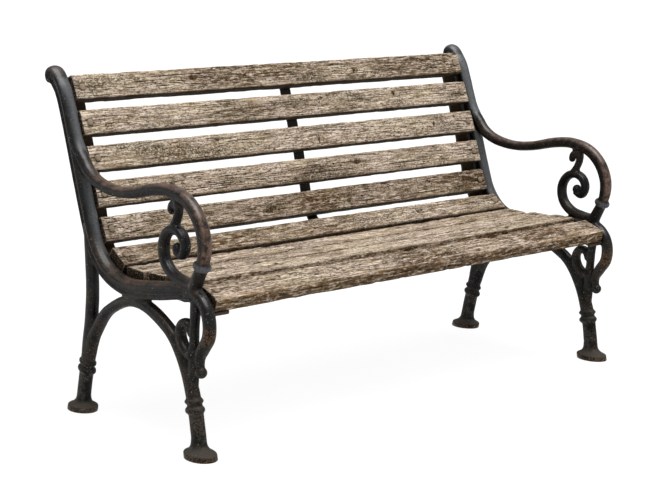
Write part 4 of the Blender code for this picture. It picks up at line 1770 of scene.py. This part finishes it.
    def check_share(self) -> np.ndarray:
        """Work out how far each check is open along the board.

        Returns:
            Shares from 0 to 1.
        """
        count = len(self.section.check)
        lanes = np.arange(count)[:, None] * self.check_lane_stride
        spread = self.noise.at(np.arange(count) * self.check_run_stride, np.zeros(count))[:, None]
        run = self.check_run + self.check_run_spread * spread
        wave = self.noise.layered(lanes, self.x / run + self.check_lane_shift * lanes, 2)
        return smoothstep(*self.check_opening, wave)

    def darkness(self) -> np.ndarray:
        """Work out how dark the timber is: its weathered tone and knots, with painted shade on the front
        slat's front face and on the seat slats' sides.

        Returns:
            Shares from 0 to 1.
        """
        across, outward = self.section.place[:, :1], self.section.normal
        on_face = outward[:, 1:] > self.face_facing
        contrast = self.seat_contrast if self.on_seat else self.back_contrast
        dark = self.tone + contrast * self.patchy(across, self.dark_patches)
        for knot_x, knot_y, radius in self.knots:
            gaps = np.hypot((self.x - knot_x) / self.knot_stretch, across - knot_y)
            dark = dark + self.knot_dark * np.exp(-(gaps / radius) ** 2) * on_face
        # Painted shade on the front slat's front face and on the seat slats' sides in the gaps
        if self.is_front:
            dark = dark + smoothstep(*self.front_facing, -outward[:, :1]) * self.shaded_front
        elif self.on_seat:
            dark = dark + np.abs(outward[:, :1]) * self.shaded_side
        return np.clip(dark, 0.0, 1.0)

    def low_edge(self) -> np.ndarray:
        """Work out the painted shade along a back slat's lower edge, patchy along the board.

        Returns:
            Shares from 0 to about 1.
        """
        across = self.section.place[:, :1]
        if self.on_seat:
            return np.zeros((len(across), len(self.x)))
        near = np.exp(-(np.maximum(across + self.width / 2, 0.0) / self.shaded_reach) ** 2)
        patchy_edge_shade = self.edge_shade_mean + self.edge_shade_spread * self.patchy(across, self.edge_shade_patches)
        return self.shaded_edge * near * patchy_edge_shade

    def wear_depth(self) -> tuple[np.ndarray, np.ndarray]:
        """Work out how much wood is gone, apart from the checks.

        Returns:
            Depths, and the share of bare warm wood.
        """
        place, corner = self.section.place, self.section.corner[:, None]
        around = np.arctan2(place[:, 1] + self.thickness / 2, place[:, 0])[:, None] * self.corner_lanes
        chips = self.patchy(around, self.seat_chips if self.on_seat else self.back_chips)
        chips = smoothstep(*self.chip_span, chips)
        crumbling = self.on_seat & (place[:, 1:] > -self.thickness / 2)
        depth = np.where(crumbling, self.seat_edge_wear, self.edge_wear) * corner * chips
        bare = self.chip_bare * corner * chips
        if self.is_front:
            to_edge = np.hypot(place[:, 0] + self.width / 2, place[:, 1])
            front_top = np.exp(-to_edge / self.front_edge_reach)[:, None]
            bites = smoothstep(*self.bite_span, self.patchy(around, self.front_bites))
            depth = depth + self.front_edge_wear * front_top * bites
            bare = bare + self.bite_bare * front_top * bites
        if self.on_seat:
            sat = np.clip(self.section.normal[:, 1], 0.0, 1.0)[:, None]
            depth = depth + self.seat_hollow * sat * (1.0 - (2.0 * self.x / self.length) ** 2)
        lanes = place[:, :1] / self.surface_grain + place[:, 1:] / self.surface_grain
        return depth + self.surface_wear * (1.0 + self.patchy(lanes, self.surface_patches)), bare

    def knot_shift(self) -> np.ndarray:
        """Bend the grain round the knots.

        Returns:
            Shifts across the board.
        """
        across = self.section.place[:, :1]
        shift = np.zeros((len(across), len(self.x)))
        for knot_x, knot_y, radius in self.knots:
            off = (across - knot_y) / radius
            run = (self.x - knot_x) / (self.knot_run * radius)
            shift -= radius * np.tanh(off) * np.exp(-run * run - self.knot_fall * off * off)
        return shift

    def scars(self) -> np.ndarray:
        """Open a short split across each knot.

        Returns:
            Depths.
        """
        across, on_face = self.section.place[:, :1], self.section.normal[:, 1:] > self.face_facing
        depth = np.zeros((len(across), len(self.x)))
        for knot_x, knot_y, radius in self.knots:
            off = (across - knot_y) / radius
            run = (self.x - knot_x - self.scar_slant * (across - knot_y)) / self.scar_width
            depth += self.scar_depth * np.exp(-run * run) * (np.abs(off) < self.scar_share) * on_face
        return depth

    def end_checks(self) -> np.ndarray:
        """Open the deep checks that run in from the ends past the bolts.

        Returns:
            Depths.
        """
        section = self.section
        on_face = (section.normal[:, 1] > self.flat_facing) & (section.check > 0)
        depth = np.zeros((len(section.check), len(self.x)))
        for side in Side:
            aim = self.random.uniform(-self.end_check_aim, self.end_check_aim)
            lane = np.where(on_face, np.abs(section.place[:, 0] - aim), 1.0).argmin()
            reach = self.end_check_reach * self.random.uniform(*self.end_check_lengths)
            from_end = self.length / 2 - side.sign * self.x
            depth[lane] += self.end_check_depth * fall(reach * self.end_check_core, reach, from_end)
        return depth

    def mesh(self) -> bpy.types.Mesh:
        """Build the board.

        Returns:
            The board's mesh, with its grain, cracks with painted edge shade, bare, dark and end values, and
            bolt stains with painted shadow stored.
        """
        section, x = self.section, self.x
        across, under = section.place.T
        column = section.place[:, :1]
        checks = section.check[:, None] * self.check_share() + self.end_checks() + self.scars()
        wear, bare = self.wear_depth()
        place = section.place[:, :, None] - section.normal[:, :, None] * (wear + checks)[:, None, :]
        sway = self.wander * self.patchy(column, self.sway_patches)
        room = np.clip(1.0 - (2.0 * np.abs(column) / self.width) ** 4, 0.0, 1.0)
        place[:, 0, :] += sway * room * np.abs(section.normal[:, 1:2])
        points = np.stack([np.broadcast_to(x, sway.shape), place[:, 0, :], place[:, 1, :]], axis=2)
        rings = list(points.transpose(1, 0, 2))
        # Cracks, with the painted shade along a back slat's lower edge added
        crack = np.clip(checks / self.check_depth + self.low_edge(), 0.0, 1.0)
        dark = self.darkness()
        bend = self.knot_shift() + self.grain_wave * self.patchy(column, self.grain_patches)
        plain = np.zeros(len(across))
        marks, grain = [], []
        for k, x_place in enumerate(x):
            marks.append(np.column_stack([crack[:, k], bare[:, k], dark[:, k], plain]))
            grain.append(np.column_stack([np.full(len(across), x_place), across + bend[:, k], under]))
        for side in Side:
            self.add_end(rings, marks, grain, side)
        return self.skin(np.array(rings), np.array(marks), np.array(grain))

    def add_end(self, rings: Rows, marks: Rows, grain: Rows, side: Side) -> None:
        """Close one end of the board with rough end grain.

        Args:
            rings: Rings of points to add to.
            marks: Cracks with painted edge shade, bare, dark and end values to add to.
            grain: Grain places to add to.
            side: End of the board.
        """
        outer = rings[0 if side is Side.LEFT else -1]
        middle = np.array([0.0, 0.0, -self.thickness / 2])
        for shrink, end in self.end_rings:
            ring = middle + (outer - middle) * np.array([0.0, shrink, shrink])
            lumps = self.noise.layered(ring[:, 1] / self.end_grain, ring[:, 2] / self.end_grain, 3)
            ring[:, 0] = side.sign * (self.length / 2 - self.end_rough * (0.5 + 0.5 * lumps))
            values = np.column_stack([np.zeros((len(ring), 3)), np.full(len(ring), end)])
            for rows, row in ((rings, ring), (marks, values), (grain, ring.copy())):
                rows.insert(0 if side is Side.LEFT else len(rows), row)

    def skin(self, rings: np.ndarray, marks: np.ndarray, grain: np.ndarray) -> bpy.types.Mesh:
        """Skin the rings into a closed board.

        Args:
            rings: Points, rings by stations.
            marks: Cracks with painted edge shade, bare, dark and end values of each point.
            grain: Grain place of each point.

        Returns:
            The mesh.
        """
        count, around = rings.shape[:2]
        index = np.arange(count * around).reshape(count, around)
        after = np.roll(index, -1, axis=1)
        quads = np.stack([index[:-1], index[1:], after[1:], after[:-1]], axis=2).reshape(-1, 4)
        points = rings.reshape(-1, 3)
        mesh = bpy.data.meshes.new(self.place.name)
        mesh.from_pydata(points.tolist(), [], quads.tolist())
        offset = self.random.uniform(*self.grain_offsets, 3)
        coarse = self.seat_grain if self.on_seat else 1.0
        set_values(mesh, "grain", grain.reshape(-1, 3) * coarse + offset)
        values = marks.reshape(-1, 4)
        for column, name in enumerate(("crack", "bare", "dark", "end")):
            set_values(mesh, name, values[:, column])
        # A dark ring round each bolt head: a stain, with a painted contact shadow
        gaps = np.hypot(np.abs(points[:, 0]) - self.layout.bolt_reach(), points[:, 1])
        set_values(mesh, "stain", self.stain * fall(*self.stain_reach, gaps))

        def join_doubles(shape: bmesh.types.BMesh) -> None:
            """Join the points that meet in the middle of each end."""
            bmesh.ops.remove_doubles(shape, verts=shape.verts, dist=self.weld)
        rework(mesh, join_doubles)
        shade(mesh, self.crease)
        return mesh

    def build(self, finish: bpy.types.Material) -> None:
        """Build the slat and set it in its place.

        Args:
            finish: Material of the timber.
        """
        add_piece(self.place.name, self.mesh(), finish, self.place.matrix())


@dataclass
class SlatFixings:
    """Round-headed bolts through the slat ends, with hexagon nuts behind the flange."""

    layout: BenchLayout
    shank: float = 0.0078
    head: float = 0.0158
    head_height: float = 0.0045
    head_foot: float = 0.97
    head_rim: float = 0.0006
    head_angles: tuple[float, ...] = (15.0, 27.0, 39.0, 51.0, 63.0, 75.0, 87.0)
    tail: float = 0.003
    tip_flat: float = 0.5
    tip_edge: float = 0.82
    tip_edge_height: float = 0.0001
    tip_height: float = 0.0006
    thread_pitch: float = 0.00125
    thread_root: float = 0.86
    bolt_sides: int = 28
    nut_flats: float = 0.013
    nut_height: float = 0.0065
    nut_bore_gap: float = 0.0002
    nut_levels: Steps = ((0.0, 1.0), (0.12, 1.12), (0.88, 1.12), (1.0, 1.0))
    nut_bore_levels: tuple[float, ...] = (1.0, 0.5, 0.0)
    nut_sides: int = 48
    crease: float = 32.0

    def bolt_mesh(self) -> bpy.types.Mesh:
        """Build a bolt with its thread showing past the nut.

        Returns:
            The mesh; local Z = 0 is the slat's face.
        """
        layout, clear = self.layout, self.layout.clearance
        end = layout.slat_thickness + layout.flange_thickness + 2 * clear + self.nut_height + self.tail
        radius, core = self.head / 2, self.shank / 2
        profile = [(core * self.tip_flat, -end), (core * self.tip_edge, -end + self.tip_edge_height)]
        height = -end + self.tip_height
        while height < -end + self.tail:
            profile += [(core, height), (core * self.thread_root, height + self.thread_pitch / 2)]
            height += self.thread_pitch
        profile += [(core, height), (core, clear)]
        profile += [(radius * self.head_foot, clear), (radius, clear + self.head_rim)]
        profile += dome(radius, clear, self.head_height, self.head_angles)
        draft = MeshDraft()
        draft.add_turned(profile, Matrix.Identity(4), self.bolt_sides)
        mesh = draft.to_mesh("slat_bolt")
        shade(mesh, self.crease)
        return mesh

    def nut_mesh(self) -> bpy.types.Mesh:
        """Build a hexagon nut with chamfered corners and an open bore.

        Returns:
            The mesh; local Z = 0 is the slat's face.
        """
        top = -(self.layout.slat_thickness + self.layout.flange_thickness + 2 * self.layout.clearance)
        bore = self.shank / 2 + self.nut_bore_gap
        rings = [self.hexagon(top - self.nut_height * share, chamfer) for share, chamfer in self.nut_levels]
        for share in self.nut_bore_levels:
            rings.append(circle(bore, top - self.nut_height * share, self.nut_sides))
        draft = MeshDraft()
        draft.add_rings(rings, looped=True)
        mesh = draft.to_mesh("slat_nut")
        shade(mesh, self.crease)
        return mesh

    def hexagon(self, height: float, chamfer: float) -> list[Vector]:
        """Give a hexagon ring whose corners are cut to a circle.

        Args:
            height: Height of the ring.
            chamfer: Radius of the circle, as a share of half the width across the flats.

        Returns:
            The ring's points.
        """
        ring = []
        for k in range(self.nut_sides):
            turn = 2 * math.pi * k / self.nut_sides
            off_flat = (turn + math.pi / 6) % (math.pi / 3) - math.pi / 6
            radius = self.nut_flats / 2 * min(1.0 / math.cos(off_flat), chamfer)
            ring.append(Vector((radius * math.cos(turn), radius * math.sin(turn), height)))
        return ring

    def build(self, finish: bpy.types.Material) -> None:
        """Set a bolt and a nut at both ends of every slat.

        Args:
            finish: Material of the fixings.
        """
        bolt = self.bolt_mesh()
        nut = self.nut_mesh()
        for slat in self.layout.slats():
            for side in Side:
                place = slat.matrix() @ Matrix.Translation((side.sign * self.layout.bolt_reach(), 0.0, 0.0))
                add_piece(f"bolt_{slat.name}_{side.value}", bolt, finish, place)
                add_piece(f"nut_{slat.name}_{side.value}", nut, finish, place)


@dataclass
class CentreStrap:
    """Flat iron bar bent along the slats' backs, with its wood screws."""

    layout: BenchLayout
    width: float = 0.034
    inset: float = 0.007
    corner: float = 0.0012
    corner_bulge: float = 0.3
    bend_step: float = 0.003
    bend_passes: int = 6
    crease: float = 30.0
    screw: float = 0.0046
    screw_head: float = 0.0098
    screw_head_height: float = 0.0032
    screw_head_angles: tuple[float, ...] = (84.0, 72.0, 58.0, 42.0, 26.0, 10.0)
    screw_bite: float = 0.017
    screw_tip: float = 0.25
    screw_sides: int = 24
    screw_crease: float = 35.0

    def line(self) -> list[Vector]:
        """Follow the backs of the slats, with eased bends.

        Returns:
            Points of the strap's near side, from the top down.
        """
        line = self.layout.bearing_line()
        line[0] += (line[1] - line[0]).normalized() * (self.layout.overrun + self.inset)
        line[-1] = (line[-2] + line[-1]) / 2 + (line[-1] - line[-2]).normalized() * self.width / 2
        fine = []
        for start, end in zip(line, line[1:]):
            count = max(1, math.ceil((end - start).length / self.bend_step))
            fine += [start.lerp(end, k / count) for k in range(count)]
        fine.append(line[-1])
        for _ in range(self.bend_passes):
            eased = [(a + 2 * b + c) / 4 for a, b, c in zip(fine, fine[1:], fine[2:])]
            fine = [fine[0], *eased, fine[-1]]
        return fine

    def section(self, ring: Sequence[Vector]) -> list[Vector]:
        """Round the corners of one ring of the strap.

        Args:
            ring: Its four corners.

        Returns:
            Twelve points round it.
        """
        points = []
        for k, place in enumerate(ring):
            before = (ring[k - 1] - place).normalized() * self.corner
            after = (ring[(k + 1) % 4] - place).normalized() * self.corner
            points += [place + before, place + (before + after) * self.corner_bulge, place + after]
        return points

    def screw_profile(self) -> Outline:
        """Give the profile of a wood screw.

        Returns:
            Rows of radius and height, from its domed head to its tip.
        """
        seat = -(self.layout.slat_thickness + self.layout.strap_thickness + 2 * self.layout.clearance)
        tip = -self.layout.slat_thickness + self.screw_bite
        radius, core = self.screw_head / 2, self.screw / 2
        head = dome(radius, seat, -self.screw_head_height, self.screw_head_angles)
        shank = [(core, seat), (core, tip - self.screw), (core * self.screw_tip, tip)]
        return [*head, (radius, seat), *shank]

    def build(self, strap_finish: bpy.types.Material, screw_finish: bpy.types.Material) -> None:
        """Build the strap with the seat's screws, and the back's screws.

        Args:
            strap_finish: Material of the strap.
            screw_finish: Material of the screws.
        """
        middle, half = self.layout.strap_place_x, self.width / 2
        rings = bent_rings(self.line(), self.layout.strap_thickness, middle - half, middle + half)
        backs = [slat for slat in self.layout.slats() if slat.kind is SlatKind.BACK]
        seats = [slat for slat in self.layout.slats() if slat.kind is SlatKind.SEAT]
        across = Matrix.Translation((middle, 0.0, 0.0))
        draft = MeshDraft()
        draft.add_rings([self.section(ring) for ring in rings])
        for slat in seats:
            draft.add_turned(self.screw_profile(), slat.matrix() @ across, self.screw_sides)
        strap = draft.to_mesh("centre_strap")
        shade(strap, self.crease)
        add_piece("centre_strap", strap, strap_finish, Matrix.Identity(4))
        single = MeshDraft()
        single.add_turned(self.screw_profile(), Matrix.Identity(4), self.screw_sides)
        screw = single.to_mesh("strap_screw")
        shade(screw, self.screw_crease)
        for number, slat in enumerate(backs, 1):
            add_piece(f"strap_screw_{number}", screw, screw_finish, slat.matrix() @ across)


@dataclass
class Studio:
    """Pale floor, soft light and the camera at the photograph's viewing angle."""

    camera_place: tuple[float, float, float] = (-2.6893, -3.0234, 1.1499)
    camera_yaw: float = 40.861
    camera_pitch: float = -12.059
    camera_roll: float = 0.372
    camera_lens: float = 86.904
    camera_sensor: float = 36.0
    camera_rise: float = 0.05
    camera_sight: float = 200.0
    floor_reach: float = 60.0
    sky_colour: Colour = (0.97, 0.985, 1.0)
    sky: float = 0.40
    horizon: float = 0.22
    overhead_power: float = 2.9
    overhead_spread: float = 50.0
    overhead_lean: float = 13.0

    def add_camera(self) -> None:
        """Set the camera, with the small rise of the photograph's framing and no depth of field."""
        yaw, pitch, roll = (math.radians(a) for a in (self.camera_yaw, self.camera_pitch, self.camera_roll))
        ahead = Vector((math.sin(yaw) * math.cos(pitch), math.cos(yaw) * math.cos(pitch), math.sin(pitch)))
        level = Vector((math.cos(yaw), -math.sin(yaw), 0.0))
        right = level * math.cos(roll) + level.cross(ahead) * math.sin(roll)
        up = right.cross(ahead)
        data = bpy.data.cameras.new("photo_camera")
        data.lens = self.camera_lens
        data.sensor_width = self.camera_sensor
        data.shift_y = self.camera_rise
        data.clip_end = self.camera_sight
        camera = add_object("photo_camera", data)
        turn = Matrix((right, up, -ahead)).transposed().to_4x4()
        camera.matrix_world = Matrix.Translation(self.camera_place) @ turn
        bpy.context.scene.camera = camera

    def add_floor(self) -> None:
        """Lay the pale floor."""
        reach = self.floor_reach
        corners = [(x * reach, y * reach, 0.0) for x, y in ((-1, -1), (1, -1), (1, 1), (-1, 1))]
        mesh = bpy.data.meshes.new("pale_floor")
        mesh.from_pydata(corners, [], [(0, 1, 2, 3)])
        mesh.materials.append(PaleFloor().build())
        floor = add_object("pale_floor", mesh)

    def add_sky(self) -> None:
        """Set an even sky that is brighter overhead."""
        world = bpy.data.worlds.new("soft_sky")
        world.use_nodes = True
        nodes, links = world.node_tree.nodes, world.node_tree.links
        place = nodes.new("ShaderNodeTexCoord")
        split = nodes.new("ShaderNodeSeparateXYZ")
        rise = nodes.new("ShaderNodeMapRange")
        rise.inputs["To Min"].default_value = self.horizon
        rise.inputs["To Max"].default_value = self.sky
        links.new(place.outputs["Generated"], split.inputs[0])
        links.new(split.outputs["Z"], rise.inputs["Value"])
        links.new(rise.outputs["Result"], nodes["Background"].inputs["Strength"])
        nodes["Background"].inputs["Color"].default_value = (*self.sky_colour, 1.0)
        bpy.context.scene.world = world

    def add_overhead(self) -> None:
        """Hang the broad soft light above the bench, a little towards its front."""
        data = bpy.data.lights.new("overhead", "SUN")
        data.energy = self.overhead_power
        data.angle = math.radians(self.overhead_spread)
        light = add_object("overhead", data)
        light.rotation_euler = (math.radians(self.overhead_lean), 0.0, 0.0)

    def build(self) -> None:
        """Set up the studio."""
        self.add_camera()
        self.add_floor()
        self.add_sky()
        self.add_overhead()
        bpy.context.scene.view_settings.view_transform = "Standard"


def main() -> None:
    """Build the bench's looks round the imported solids."""
    logging.basicConfig(level=logging.INFO, format="%(name)s: %(message)s")
    for item in list(bpy.data.objects):
        bpy.data.objects.remove(item, do_unlink=True)
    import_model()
    layout = BenchLayout()
    Studio().build()

    iron = AgedIron().build()
    timber = WeatheredTimber().build()
    strap_iron = AgedIron(name="aged_strap_iron", skin=srgb(38, 34, 31), dust_share=0.0).build()
    steel = AgedIron(
        name="aged_fastener_steel", deep=srgb(136, 118, 98), skin=srgb(184, 165, 140), dust_share=0.0,
        brown_share=0.0).build()

    EndFrame(layout).build(iron)
    for number, (place, tone, knots) in enumerate(zip(layout.slats(), layout.tones, layout.knots)):
        TimberSlat(layout, place, FIRST_SEED + number, tone, knots).build(timber)
    SlatFixings(layout).build(steel)
    CentreStrap(layout).build(strap_iron, steel)


if __name__ == "__main__":
    main()
